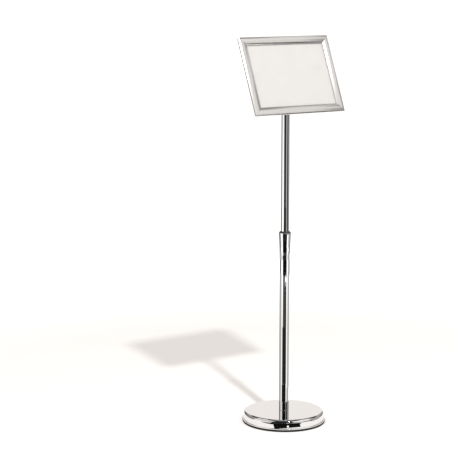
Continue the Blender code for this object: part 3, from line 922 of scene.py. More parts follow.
class STAND_OT_foot_ring(bpy.types.Operator):
    """Rubber ring that the stand rests on"""

    bl_idname = "stand.foot_ring"
    bl_label = "Foot ring"

    def execute(self, context):
        sizes = context.scene.stand_base
        low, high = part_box("base_ring")
        outer = high.x
        soft_edge = 0.8 * MM
        groove_depth = 0.8 * MM
        groove_width = 1.2 * MM
        rebate = outer - 1.8 * MM
        corners = [
            (sizes.ring_step, high.z, 0.3 * MM),
            (rebate, high.z, 0.3 * MM),
            (rebate, sizes.rim_bottom - 0.2 * MM, 0.1 * MM),
            (outer, sizes.rim_bottom - 0.2 * MM, soft_edge),
            (outer, low.z, soft_edge),
        ]
        grooves = 4
        land = (outer - sizes.ring_inner) / (grooves + 1)
        for number in range(1, grooves + 1):
            middle = outer - number * land
            corners += [
                (middle + groove_width, low.z, 0.2 * MM),
                (middle + groove_width / 2, low.z + groove_depth, 0.2 * MM),
                (middle - groove_width / 2, low.z + groove_depth, 0.2 * MM),
                (middle - groove_width, low.z, 0.2 * MM),
            ]
        corners += [
            (sizes.ring_inner, low.z, 0.6 * MM),
            (sizes.ring_inner, sizes.ring_floor, 0.4 * MM),
            (sizes.ring_step, sizes.ring_floor, 0.2 * MM),
        ]
        shape = lathe(rounded(corners, steps=4), BASE_SEGMENTS)
        piece("foot_ring_rubber", shape, finish("rubber"), "base_ring")
        return {"FINISHED"}


class STAND_OT_base_shell(bpy.types.Operator):
    """Chromed shell of the base, spun from steel sheet"""

    bl_idname = "stand.base_shell"
    bl_label = "Base shell"

    def execute(self, context):
        sizes = context.scene.stand_base
        low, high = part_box("base_cover")
        rim = high.x
        shoulder = (sizes.wall - sizes.shoulder, high.z - sizes.shoulder)
        lip_top = low.z + sizes.lip
        flare = 0.8 * MM
        flare_centre = (sizes.wall + 0.4 * MM + flare, lip_top + flare)
        rim_edge = 0.7 * MM
        rim_thickness = 0.9 * MM
        crown_steps = 24
        outer = [(sizes.bolt_hole, high.z, 0.0), (shoulder[0] - 1.0 * MM, high.z, 0.0)]
        outer += arc(shoulder, sizes.shoulder, 90, 2, crown_steps)
        outer += arc(flare_centre, flare, 180, 270, 10)
        outer += arc((rim - rim_edge, lip_top - rim_edge), rim_edge, 90, 0, 8)
        inner_wall = sizes.wall - sizes.skin
        inner = [(rim, sizes.rim_bottom, 0), (rim - rim_thickness, sizes.rim_bottom, 0)]
        inner += [(rim - rim_thickness, low.z, 0), (inner_wall + 0.4 * MM, low.z, 0)]
        inner += arc(shoulder, sizes.shoulder - sizes.skin, 2, 90, crown_steps)
        inner += [(sizes.bolt_hole, high.z - sizes.skin, 0)]
        shape = lathe(outer + inner, BASE_SEGMENTS)
        piece("base_shell_chromed", shape, finish("chrome"), "base_cover", weighted=False)
        return {"FINISHED"}


class STAND_OT_weight(bpy.types.Operator):
    """Cast-iron weight inside the base, with its bolt and washer"""

    bl_idname = "stand.weight"
    bl_label = "Weight and bolt"

    def execute(self, context):
        sizes = context.scene.stand_base
        low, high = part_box("base_weight")
        boss = 30 * MM
        slope = 5 * MM
        plate_top = 20 * MM
        recess = 14 * MM
        recess_top = 13.6 * MM
        relief_outer = 94 * MM
        relief_inner = 30 * MM
        relief_slope = 3 * MM
        relief_top = low.z + 4 * MM
        corners = [
            (sizes.bolt_hole, high.z, 0.4 * MM),
            (boss, high.z, 2.0 * MM),
            (boss + slope, plate_top, 4.0 * MM),
            (high.x, plate_top, 2.5 * MM),
            (high.x, low.z, 1.5 * MM),
            (relief_outer, low.z, 1.5 * MM),
            (relief_outer - relief_slope, relief_top, 3.0 * MM),
            (relief_inner + relief_slope, relief_top, 3.0 * MM),
            (relief_inner, low.z, 1.5 * MM),
            (recess, low.z, 1.0 * MM),
            (recess, recess_top, 1.0 * MM),
            (sizes.bolt_hole, recess_top, 0.4 * MM),
        ]
        shape = lathe(rounded(corners), BASE_SEGMENTS)
        piece("base_weight_casting", shape, finish("cast_iron"), "base_weight")

        low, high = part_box("base_washer")
        shape = washer(sizes.bolt_hole, high.x, low.z, high.z)
        piece("base_washer_plated", shape, finish("zinc_plate"), "base_washer")

        low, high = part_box("base_bolt")
        head = 6.4 * MM
        shank = 5 * MM
        shape = hex_bolt(high.x, low.z, low.z + head, shank, high.z, 1.25 * MM)
        piece("base_bolt_plated", shape, finish("zinc_plate"), "base_bolt")
        return {"FINISHED"}


def hex_bolt(radius, bottom, seat, shank, end, pitch):
    """A hexagon bolt that points up Z: a head with chamfered corners, a shank and its thread."""
    chamfer = 0.12 * radius
    clear = 1.2 * radius
    flat = 0.86 * radius
    head = rod(radius, bottom, seat, 6)
    cone = [(0, seat + MM, 0), (clear, seat + MM, 0)]
    cone += [(clear, bottom + chamfer, 0), (flat, bottom, 0), (0, bottom, 0)]
    head = joined(head, lathe(cone, SCREW_SEGMENTS, closed=False), "INTERSECT")
    tip = 0.8 * MM
    root = bottom + 0.5 * (seat - bottom)
    plain = seat + 0.35 * (end - seat)
    points = [(0, root, 0), (shank, root, 0), (shank, plain, 0)]
    points += threaded(shank, plain, end - tip, pitch, 0.5 * pitch)
    points += [(shank - tip, end, 0), (0, end, 0)]
    return joined(head, lathe(points, SCREW_SEGMENTS, closed=False))


# Post -------------------------------------------------------------------------------------


def tube(name, node, wall):
    low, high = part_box(node)
    shape = ring(high.x - wall, high.x, low.z, high.z, 0.35 * MM)
    piece(name, shape, finish("chrome"), node, weighted=False)


class STAND_OT_tubes(bpy.types.Operator):
    """Lower and upper tube of the post, chromed"""

    bl_idname = "stand.tubes"
    bl_label = "Tubes"

    def execute(self, context):
        wall = context.scene.stand_post.wall
        tube("lower_tube_chromed", "lower_tube", wall)
        tube("upper_tube_chromed", "upper_tube", wall)
        return {"FINISHED"}


class STAND_OT_plugs(bpy.types.Operator):
    """Foot plug and guide bush inside the tubes"""

    bl_idname = "stand.plugs"
    bl_label = "Plugs"

    def execute(self, context):
        low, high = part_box("foot_plug")
        radius = high.x
        bore = 5.3 * MM
        bore_top = high.z - 4 * MM
        ribs = 5
        margin = 2 * MM
        groove = radius - 0.35 * MM
        step = (high.z - low.z - 2 * margin) / ribs
        rib_end, groove_start, groove_end = 0.7 * step, 0.75 * step, 0.95 * step
        corners = [(0, high.z, 0), (radius - 0.8 * MM, high.z, 0.6 * MM)]
        for number in range(ribs):
            top = high.z - margin - number * step
            corners += [(radius, top, 0.15 * MM), (radius, top - rib_end, 0.15 * MM)]
            corners += [(groove, top - groove_start, 0.1 * MM), (groove, top - groove_end, 0.1 * MM)]
        corners += [(radius, low.z, 0.4 * MM), (bore, low.z, 0.3 * MM)]
        corners += [(bore, bore_top, 0), (0, bore_top, 0)]
        shape = lathe(rounded(corners, closed=False, steps=3), SMALL_SEGMENTS, closed=False)
        piece("foot_plug_moulded", shape, finish("black_plastic"), "foot_plug")

        low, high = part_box("guide_bush")
        tube_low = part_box("upper_tube")[0].z
        shoulder = tube_low - 0.3 * MM
        spigot = 11.0 * MM
        bore = 7.0 * MM
        radius = high.x
        land = 4 * MM
        ramp = 0.6 * MM
        waist = radius - 0.5 * MM
        waist_top = shoulder - land
        waist_bottom = low.z + land
        corners = [
            (bore, high.z, 0.4 * MM),
            (spigot, high.z, 1.0 * MM),
            (spigot, shoulder, 0.2 * MM),
            (radius, shoulder, 0.5 * MM),
            (radius, waist_top, 0.3 * MM),
            (waist, waist_top - ramp, 0.3 * MM),
            (waist, waist_bottom + ramp, 0.3 * MM),
            (radius, waist_bottom, 0.3 * MM),
            (radius, low.z, 1.0 * MM),
            (bore, low.z, 0.4 * MM),
        ]
        piece("guide_bush_nylon", lathe(rounded(corners)), finish("nylon"), "guide_bush")
        return {"FINISHED"}


class STAND_OT_clutch(bpy.types.Operator):
    """Clutch between the tubes: threaded seat, split collet, turning collar and wiper ring"""

    bl_idname = "stand.clutch"
    bl_label = "Clutch"

    def execute(self, context):
        sizes = context.scene.stand_post
        self.seat(sizes)
        self.collet()
        self.collar(sizes)
        self.wiper_ring()
        return {"FINISHED"}

    def seat(self, sizes):
        low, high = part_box("collar_seat")
        tube_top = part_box("lower_tube")[1].z
        flange = tube_top + 0.3 * MM
        flange_top = flange + 1.5 * MM
        bore = 12.75 * MM
        shank = 13.55 * MM
        thread_depth = 0.6 * MM
        thread_top = high.z - 0.8 * MM
        corners = [(bore, low.z, 0.3 * MM), (shank, low.z, 0.5 * MM), (shank, flange, 0)]
        corners += [(high.x, flange, 0), (high.x, flange_top, 0)]
        corners += threaded(high.x, flange_top, thread_top, sizes.thread_pitch, thread_depth)
        corners += [(high.x - thread_depth, high.z, 0), (bore, high.z, 0.3 * MM)]
        shape = lathe(rounded(corners, steps=3))
        piece("clutch_seat_threaded", shape, finish("nylon"), "collar_seat")

    def collet(self):
        low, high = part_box("split_collet")
        bore = 12.8 * MM
        top_radius = 13.4 * MM
        edge = 0.12 * MM
        corners = [
            (bore, high.z, edge),
            (top_radius, high.z, edge),
            (high.y, low.z + 0.4 * MM, edge),
            (high.y, low.z, edge),
            (bore, low.z, edge),
        ]
        shape = lathe(rounded(corners, steps=3))
        split = 1.6 * MM
        reach = 20 * MM
        slot = block((reach, split, 2 * reach), Matrix.Translation((reach, 0, low.z)))
        shape = cut(shape, slot)
        kerf = 1.2 * MM
        kerf_depth = 8 * MM
        for number in range(1, 4):
            turn = Matrix.Rotation(number * math.pi / 2, 4, "Z")
            place = turn @ Matrix.Translation((15 * MM, 0, high.z))
            shape = cut(shape, block((8 * MM, kerf, 2 * kerf_depth), place))
        piece("clutch_collet_split", shape, finish("nylon"), "split_collet", sharp=30)

    def collar(self, sizes):
        low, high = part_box("clutch_collar")
        radius = high.x
        edge = 0.7 * MM
        flare_top = high.z - 4 * MM
        steps = 28
        outer = [(sizes.throat, high.z, 0), (radius - edge, high.z, 0)]
        outer += arc((radius - edge, high.z - edge), edge, 90, 0, 6)
        for step in range(steps + 1):
            part = step / steps
            size = sizes.waist + (radius - sizes.waist) * (1 - part) ** sizes.flare
            outer.append((size, flare_top + (sizes.waist_height - flare_top) * part, 0))
        foot = 15.7 * MM
        outer += [(foot, low.z + 0.8 * MM, 0), (foot - 0.3 * MM, low.z, 0)]
        bore = 15.3 * MM
        cone_bottom = 556.9 * MM
        cone_top = cone_bottom + 14.1 * MM
        cone_end = 13.75 * MM
        inner = [(bore, low.z, 0), (bore, cone_bottom, 0), (cone_end, cone_top, 0)]
        inner += [(sizes.throat, cone_top + 0.4 * MM, 0)]
        shape = lathe(rounded(outer + inner))
        piece("clutch_collar_chromed", shape, finish("chrome"), "clutch_collar", weighted=False)

    def wiper_ring(self):
        low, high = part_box("collar_ring")
        radius = high.x
        bore = 12.8 * MM
        top = bore + 0.7 * MM
        corners = [
            (bore, high.z, 0.2 * MM),
            (top, high.z, 0.3 * MM),
            (radius, low.z + 1.0 * MM, 0.6 * MM),
            (radius, low.z, 0.3 * MM),
            (bore, low.z, 0.2 * MM),
        ]
        shape = lathe(rounded(corners, steps=6))
        piece("wiper_ring_black", shape, finish("black_plastic"), "collar_ring")


# Head -------------------------------------------------------------------------------------


def ear(width, root, thickness, hole, edge):
    """A plate across X with a round end and a hole at the tilt axis, and its root at a height."""
    outline = [(-width, root), (-width, 0)]
    outline += [point[:2] for point in arc((0, 0), width, 180, 360 if root > 0 else 0, 32)][1:]
    outline += [(width, root)]
    shape = plate(outline, -thickness / 2, thickness / 2, edge)
    return moved(cut(shape, rod(hole, -thickness, thickness)), UPRIGHT)


class STAND_OT_head_plug(bpy.types.Operator):
    """Plug in the upper tube, with the tongue that the fork holds"""

    bl_idname = "stand.head_plug"
    bl_label = "Head plug"

    def execute(self, context):
        sizes = context.scene.stand_head
        low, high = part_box("head_plug")
        tube_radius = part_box("upper_tube")[1].x
        shoulder = HINGE.z - 20 * MM
        flange = 2 * MM
        spigot = 11.0 * MM
        corners = [
            (0, shoulder, 0),
            (tube_radius, shoulder, 0.6 * MM),
            (tube_radius, shoulder - flange, 0.3 * MM),
            (spigot, shoulder - flange, 0.2 * MM),
            (spigot, low.z, 1.0 * MM),
            (0, low.z, 0),
        ]
        plug = lathe(rounded(corners, closed=False, steps=4), TUBE_SEGMENTS, closed=False)
        root = shoulder - HINGE.z - 1 * MM
        tongue = ear(high.z - HINGE.z, root, 2 * sizes.tongue, sizes.hinge_hole, 0.5 * MM)
        shape = joined(plug, moved(tongue, Matrix.Translation(HINGE)))
        piece("head_plug_moulded", shape, finish("black_plastic"), "head_plug")
        return {"FINISHED"}


class STAND_OT_fork(bpy.types.Operator):
    """Fork with two ears and a round plate behind the frame"""

    bl_idname = "stand.fork"
    bl_label = "Fork"

    def execute(self, context):
        sizes = context.scene.stand_head
        low, high = span(["tilt_fork"])
        plate_back = high.z - 2.5 * MM
        edge = 0.5 * MM
        shape = ring(sizes.hinge_hole, high.y, plate_back, high.z, edge)
        reach = -low.z
        ear_outside = 13.1 * MM
        for side in (-1, 1):
            lug = ear(reach, plate_back + 1 * MM, sizes.ear, sizes.hinge_hole, edge)
            offset = Matrix.Translation((side * (ear_outside - sizes.ear / 2), 0, 0))
            shape = joined(shape, moved(lug, offset))
        piece("tilt_fork_plated", shape, finish("zinc_plate"), "tilt_fork", SIGN)
        return {"FINISHED"}


class STAND_OT_hinge(bpy.types.Operator):
    """Bolt and washers on the tilt axis"""

    bl_idname = "stand.hinge"
    bl_label = "Hinge bolt and washers"

    def execute(self, context):
        sizes = context.scene.stand_head
        low, high = span(["hinge_bolt"])
        head = 5.3 * MM
        shape = hex_bolt(7.5 * MM, low.x, low.x + head, sizes.bolt, high.x, 1.25 * MM)
        piece("hinge_bolt_plated", shape, finish("zinc_plate"), "hinge_bolt", SIGN @ ALONG_X)
        names = {
            "hinge_washer_left": "friction_washer_left",
            "hinge_washer_right": "friction_washer_right",
            "knob_washer": "knob_washer_plated",
        }
        for node, name in names.items():
            low, high = span([node])
            shape = washer(sizes.hinge_hole, high.y, low.x, high.x)
            piece(name, shape, finish("zinc_plate"), node, SIGN @ ALONG_X)
        return {"FINISHED"}


class STAND_OT_knob(bpy.types.Operator):
    """Lobed hand knob that clamps the tilt"""

    bl_idname = "stand.knob"
    bl_label = "Tilt knob"

    def execute(self, context):
        sizes = context.scene.stand_head
        low, high = span(["tilt_knob"])
        depth = high.x - low.x
        radius = max(high.y, high.z)
        swing = sizes.lobe_depth / 2
        outline = []
        points = 180
        for number in range(points):
            turn = FULL_TURN * number / points
            size = radius - swing + swing * math.cos(sizes.lobes * turn)
            outline.append((size * math.cos(turn), size * math.sin(turn)))
        shape = plate(outline, 0, depth, 1.8 * MM, 6)
        front = max(shape.faces, key=lambda face: (face.calc_center_median().z, face.calc_area()))
        # Rings of the front face: how wide each is, and how far out all inside it is pushed.
        rings = ((3.0 * MM, 0), (0.5 * MM, -0.8 * MM), (3.2 * MM, 0), (0.4 * MM, 0.5 * MM))
        for width, push in rings:
            bmesh.ops.inset_region(shape, faces=[front], thickness=width, depth=0)
            if push:
                bmesh.ops.translate(shape, vec=(0, 0, push), verts=list(front.verts))
        blind = 2 * MM
        shape = cut(shape, rod(sizes.hinge_hole, -MM, depth - blind + 0.3 * MM))
        place = SIGN @ Matrix.Translation((low.x, 0, 0)) @ ALONG_X
        piece("tilt_knob_moulded", shape, finish("black_plastic"), "tilt_knob", place)
        return {"FINISHED"}


def screw_place(number):
    circle = bpy.context.scene.stand_head.screw_circle
    turn = math.pi / 4 + number * math.pi / 2
    return Matrix.Translation(Vector((math.cos(turn), math.sin(turn), 0)) * circle)


def drilled(shape, low, high):
    """The shape with the disc's four screw holes through it."""
    for number in range(4):
        hole = rod(SCREW_HOLE, low.z - MM, high.z + MM, SCREW_SEGMENTS)
        shape = cut(shape, moved(hole, screw_place(number)))
    return shape


class STAND_OT_turntable(bpy.types.Operator):
    """Centre pivot, its washer, and the disc with four screws on the frame's back"""

    bl_idname = "stand.turntable"
    bl_label = "Turntable"

    def execute(self, context):
        sizes = context.scene.stand_head
        low, high = span(["turn_pivot"])
        head_top = 20.2 * MM
        head = 7.0 * MM
        corners = [
            (0, high.z, 0),
            (sizes.bolt, high.z, 0.4 * MM),
            (sizes.bolt, head_top, 0.15 * MM),
            (head, head_top, 0.3 * MM),
            (head, low.z + 0.6 * MM, 0.5 * MM),
            (head - 1.4 * MM, low.z, 0.6 * MM),
            (0, low.z, 0),
        ]
        shape = lathe(rounded(corners, closed=False), SMALL_SEGMENTS, closed=False)
        shape = cut(shape, rod(2.6 * MM, low.z - MM, low.z + 1.6 * MM, 6))
        piece("turn_pivot_plated", shape, finish("zinc_plate"), "turn_pivot", SIGN)

        low, high = span(["turn_washer"])
        shape = washer(sizes.hinge_hole, high.x, low.z, high.z)
        piece("turn_washer_plated", shape, finish("zinc_plate"), "turn_washer", SIGN)

        low, high = span(["mount_disc"])
        shape = drilled(ring(sizes.hinge_hole, high.x, low.z, high.z, 0.6 * MM), low, high)
        piece("mount_disc_plated", shape, finish("zinc_plate"), "mount_disc", SIGN)
        for number in range(4):
            self.screw(number)
        return {"FINISHED"}

    def screw(self, number):
        node = f"disc_screw_{number + 1}"
        low, high = span([node])
        head = 3.2 * MM
        seat = low.z + 2.0 * MM
        shank = 1.6 * MM
        pitch = 0.7 * MM
        thread_depth = 0.25 * MM
        tip = 0.3 * MM
        corners = [(0, low.z, 0), (head * 0.45, low.z + 0.1 * MM, 0.4 * MM)]
        corners += [(head, low.z + 1.1 * MM, 0.7 * MM), (head, seat, 0.15 * MM), (shank, seat, 0)]
        corners += threaded(shank, seat, high.z - tip, pitch, thread_depth)
        corners += [(shank - tip, high.z, 0), (0, high.z, 0)]
        shape = lathe(rounded(corners, closed=False, support=0.05 * MM), SCREW_SEGMENTS, closed=False)
        slot_length = 3.4 * MM
        slot_width = 0.8 * MM
        slot_depth = 1.1 * MM
        for turn in (0, math.pi / 2):
            way = Matrix.Translation((0, 0, low.z)) @ Matrix.Rotation(turn, 4, "Z")
            shape = cut(shape, block((slot_length, slot_width, 2 * slot_depth), way))
        twist = Matrix.Rotation(math.radians(17 + 31 * number), 4, "Z")
        place = SIGN @ screw_place(number) @ twist
        piece(f"{node}_plated", shape, finish("zinc_plate"), node, place)


# Frame ------------------------------------------------------------------------------------


def sheet_piece(name, node, finish_name, corner, edge, screwed=False):
    """A flat rectangular sheet with rounded corners, in the sign's space."""
    low, high = span([node])
    corners = [
        (low.x, low.y, corner),
        (high.x, low.y, corner),
        (high.x, high.y, corner),
        (low.x, high.y, corner),
    ]
    shape = plate(rounded(corners, steps=6, support=0), low.z, high.z, edge)
    if screwed:
        shape = drilled(shape, low, high)
    piece(name, shape, finish(finish_name), node, SIGN, sharp=50)


class STAND_OT_panel(bpy.types.Operator):
    """Back panel, blank sheet and clear cover"""

    bl_idname = "stand.panel"
    bl_label = "Panel and sheets"

    def execute(self, context):
        sheet_piece("back_panel_moulded", "back_panel", "panel_plastic", 1.5 * MM, 0.3 * MM, True)
        sheet_piece("sign_sheet_blank", "sign_sheet", "sheet_paper", 0.3 * MM, 0)
        sheet_piece("cover_sheet_clear", "clear_cover", "clear_sheet", 1.0 * MM, 0.1 * MM)
        return {"FINISHED"}


OPEN = math.radians(JOINTS["snap_bottom_open"]["range_deg"][1])
BEAD = Vector((3.2 * MM, 4.6 * MM))  # inset and depth of the bead that a snap rail turns on


def snap_outline(sizes):
    """Section of a snap rail as (inset, depth) corners."""
    low, high = span(["snap_rail_bottom"], FRAME)
    width = high.y - low.y
    crown_centre = high.z - sizes.crown
    skirt = low.z
    lip = low.z + 1.0 * MM
    inner = sizes.crown - sizes.skin

    def crown(inset, radius):
        return crown_centre + math.sqrt(radius**2 - (inset - sizes.crown_inset) ** 2)

    corners = [(0, skirt, 0.25 * MM), (0, crown(0, sizes.crown), 0.7 * MM)]
    steps = 30
    start = 1.2 * MM
    for step in range(steps + 1):
        inset = start + (width - 2 * start) * step / steps
        corners.append((inset, crown(inset, sizes.crown), 0))
    corners += [(width, crown(width, sizes.crown), 0.7 * MM), (width, lip, 0.45 * MM)]
    corners += [(width - sizes.skin, lip, 0.4 * MM)]
    steps = 10
    rib_far = (9.6 * MM, 8.6 * MM, 8.3 * MM)
    rib_near = (3.7 * MM, 2.7 * MM, BEAD.y + sizes.bead + 0.3 * MM)
    begin = width - sizes.skin
    for step in range(steps):
        inset = begin + (rib_far[0] - begin) * step / steps
        corners.append((inset, crown(inset, inner), 0))
    for begin, end, bottom in (rib_far, rib_near):
        corners += [(begin, crown(begin, inner), 0), (begin, bottom, 0.2 * MM)]
        corners += [(end, bottom, 0.2 * MM), (end, crown(end, inner), 0)]
    corners += [(sizes.skin, crown(sizes.skin, inner), 0.2 * MM), (sizes.skin, skirt, 0.25 * MM)]
    return rounded(corners, steps=4, support=0)


def base_outline(sizes):
    """Section of a fixed rail: floor strip, panel stop, riser and the arm that ends in the bead."""
    low, high = span(["base_rail_bottom"], FRAME)
    edge = span(["snap_rail_bottom"], FRAME)[0].y
    inner_edge = high.y - edge
    outer_edge = 2.2 * MM
    strip = 1.0 * MM
    stop = (13.2 * MM, 14.4 * MM, 3.5 * MM)
    riser = (6.2 * MM, 7.4 * MM)
    arm = (3.7 * MM, 5.0 * MM)
    small = 0.2 * MM
    corners = [(outer_edge, 0, small), (inner_edge, 0, small), (inner_edge, strip, small)]
    corners += [(stop[1], strip, small), (stop[1], stop[2], small)]
    corners += [(stop[0], stop[2], small), (stop[0], strip, small)]
    corners += [(riser[1], strip, small), (riser[1], arm[1] + 0.1 * MM, 0.3 * MM)]
    corners += arc(BEAD, sizes.bead, 20, 310, 20)
    corners += [(riser[0], arm[0], small), (riser[0], strip, small), (outer_edge, strip, small)]
    return rounded(corners, steps=3, support=0)


def mitre(inset, depth):
    """A plain mitre, the same at every depth."""
    return inset


def snap_mitre(inset, depth):
    """The mitre of a snap rail, cut back so that two open neighbours clear each other."""
    across = inset - BEAD.x
    above = depth - BEAD.y
    return max(inset, BEAD.x + across * math.cos(OPEN) - above * math.sin(OPEN))


def rail(outline, half_length, sizes, cut_back):
    """A mitred rail along X, with its inset along Y and its depth along Z."""
    shape = bmesh.new()
    face = shape.faces.new([shape.verts.new((0, inset, depth)) for inset, depth in outline])
    made = bmesh.ops.extrude_face_region(shape, geom=[face])["geom"]
    far = {item for item in made if isinstance(item, bmesh.types.BMVert)}
    for vert in shape.verts:
        side = 1 if vert in far else -1
        vert.co.x = side * (half_length - sizes.mitre_gap - cut_back(vert.co.y, vert.co.z))
    bmesh.ops.recalc_face_normals(shape, faces=shape.faces)
    return shape


def break_mitres(shape, edge, above):
    """Breaks the edges along both mitres, on the rail's outside: those higher than a depth."""
    ends = {face for face in shape.faces if len(face.verts) > 4}
    rims = [
        item
        for item in shape.edges
        if sum(face in ends for face in item.link_faces) == 1
        and min(vert.co.z for vert in item.verts) > above
    ]
    bevel(shape, rims, edge, 2)


def frame_sides():
    """Each side's name, whether it is level, its length, and its place at its outer edge."""
    for number, side in enumerate(SIDES):
        level = number % 2 == 0
        along, across = (FRAME_WIDTH, FRAME_HEIGHT) if level else (FRAME_HEIGHT, FRAME_WIDTH)
        turn = Matrix.Rotation(number * math.pi / 2, 4, "Z")
        yield side, level, along, FRAME @ turn @ Matrix.Translation((0, -across / 2, 0))


class STAND_OT_rails(bpy.types.Operator):
    """Fixed rails and snap rails on the four sides of the frame"""

    bl_idname = "stand.rails"
    bl_label = "Rails"

    def execute(self, context):
        sizes = context.scene.stand_rails
        inside = 6.9 * MM
        for side, level, along, place in frame_sides():
            grain = finish("aluminium_level" if level else "aluminium_upright")
            shape = rail(base_outline(sizes), along / 2, sizes, mitre)
            piece(f"fixed_rail_{side}", shape, grain, f"base_rail_{side}", place, sharp=30)
            shape = rail(snap_outline(sizes), along / 2, sizes, snap_mitre)
            break_mitres(shape, sizes.mitre_edge, inside)
            name = f"snap_rail_{side}_anodised"
            piece(name, shape, grain, f"snap_rail_{side}", place, sharp=30, weighted=False)
        return {"FINISHED"}


class STAND_OT_springs(bpy.types.Operator):
    """Flat springs that hold the snap rails open or shut"""

    bl_idname = "stand.springs"
    bl_label = "Springs"

    def execute(self, context):
        centre = (7.8 * MM, 3.0 * MM)
        radius = 4.6 * MM
        thickness = 0.5 * MM
        half_width = 15 * MM
        outline = arc(centre, radius, 80, -18, 28) + arc(centre, radius - thickness, -18, 80, 28)
        for side, level, along, place in frame_sides():
            for count, shift in ((1, -along / 4), (2, along / 4)):
                shape = moved(plate(outline, -half_width, half_width, 0.12 * MM), UPRIGHT)
                node = f"spring_{side}_{count}"
                spot = place @ Matrix.Translation((shift, 0, 0))
                piece(f"{node}_flat", shape, finish("spring_steel"), node, spot)
        return {"FINISHED"}


class STAND_OT_corner_keys(bpy.types.Operator):
    """Plastic keys in the corners of the fixed rails"""

    bl_idname = "stand.corner_keys"
    bl_label = "Corner keys"

    def execute(self, context):
        near = 7.8 * MM
        far = 12.8 * MM
        arm = 34 * MM
        tip = 1.2 * MM
        soft = 0.5 * MM
        corners = [(near, near, tip), (arm, near, tip), (arm, far, tip)]
        corners += [(far, far, soft), (far, arm, tip), (near, arm, tip)]
        low, high = span(["corner_key_1"], FRAME)
        signs = ((-1, -1), (1, -1), (1, 1), (-1, 1))
        for number, (across, up) in enumerate(signs):
            shape = plate(rounded(corners, support=0), low.z, high.z, 0.3 * MM)
            corner = Matrix.Translation((across * FRAME_WIDTH / 2, up * FRAME_HEIGHT / 2, 0))
            place = FRAME @ corner @ Matrix.Rotation(number * math.pi / 2, 4, "Z")
            node = f"corner_key_{number + 1}"
            piece(f"{node}_moulded", shape, finish("black_plastic"), node, place)
        return {"FINISHED"}


# Stage ------------------------------------------------------------------------------------


def on_circle(side, distance, height=0.0):
    """A point round the post: side 0 is in front of the sign, and side 90 to its +X."""
    return Vector((distance * math.sin(side), -distance * math.cos(side), height))


def stage_piece(name, shape, material):
    mesh = bpy.data.meshes.new(name)
    shape.to_mesh(mesh)
    shape.free()
    mesh.materials.append(material)
    obj = bpy.data.objects.new(name, mesh)
    bpy.context.scene.collection.objects.link(obj)
    return obj


def card(name, corners, brightness, from_below=False):
    """A studio card that only reflections see, or only those that look up at it from below.

    Its corners run along one edge and back along the other.
    """
    shape = bmesh.new()
    verts = [shape.verts.new(corner) for corner in corners]
    half = len(verts) // 2
    for step in range(half - 1):
        shape.faces.new((verts[step], verts[step + 1], verts[-step - 2], verts[-step - 1]))
    material = bpy.data.materials.new(name)
    material.use_nodes = True
    tree = material.node_tree
    tree.nodes.clear()
    glow = add(tree, "ShaderNodeEmission", {"Color": (brightness, brightness, brightness, 1.0)})
    out = add(tree, "ShaderNodeOutputMaterial")
    surface = glow.outputs[0]
    if from_below:
        clear = add(tree, "ShaderNodeBsdfTransparent").outputs[0]
        above = add(tree, "ShaderNodeNewGeometry").outputs["Backfacing"]
        surface = add(tree, "ShaderNodeMixShader", {0: above, 1: surface, 2: clear}).outputs[0]
    tree.links.new(surface, out.inputs["Surface"])
    material.cycles.emission_sampling = "NONE"
    obj = stage_piece(name, shape, material)
    for ray in ("camera", "diffuse", "shadow", "transmission", "volume_scatter"):
        setattr(obj, f"visible_{ray}", False)


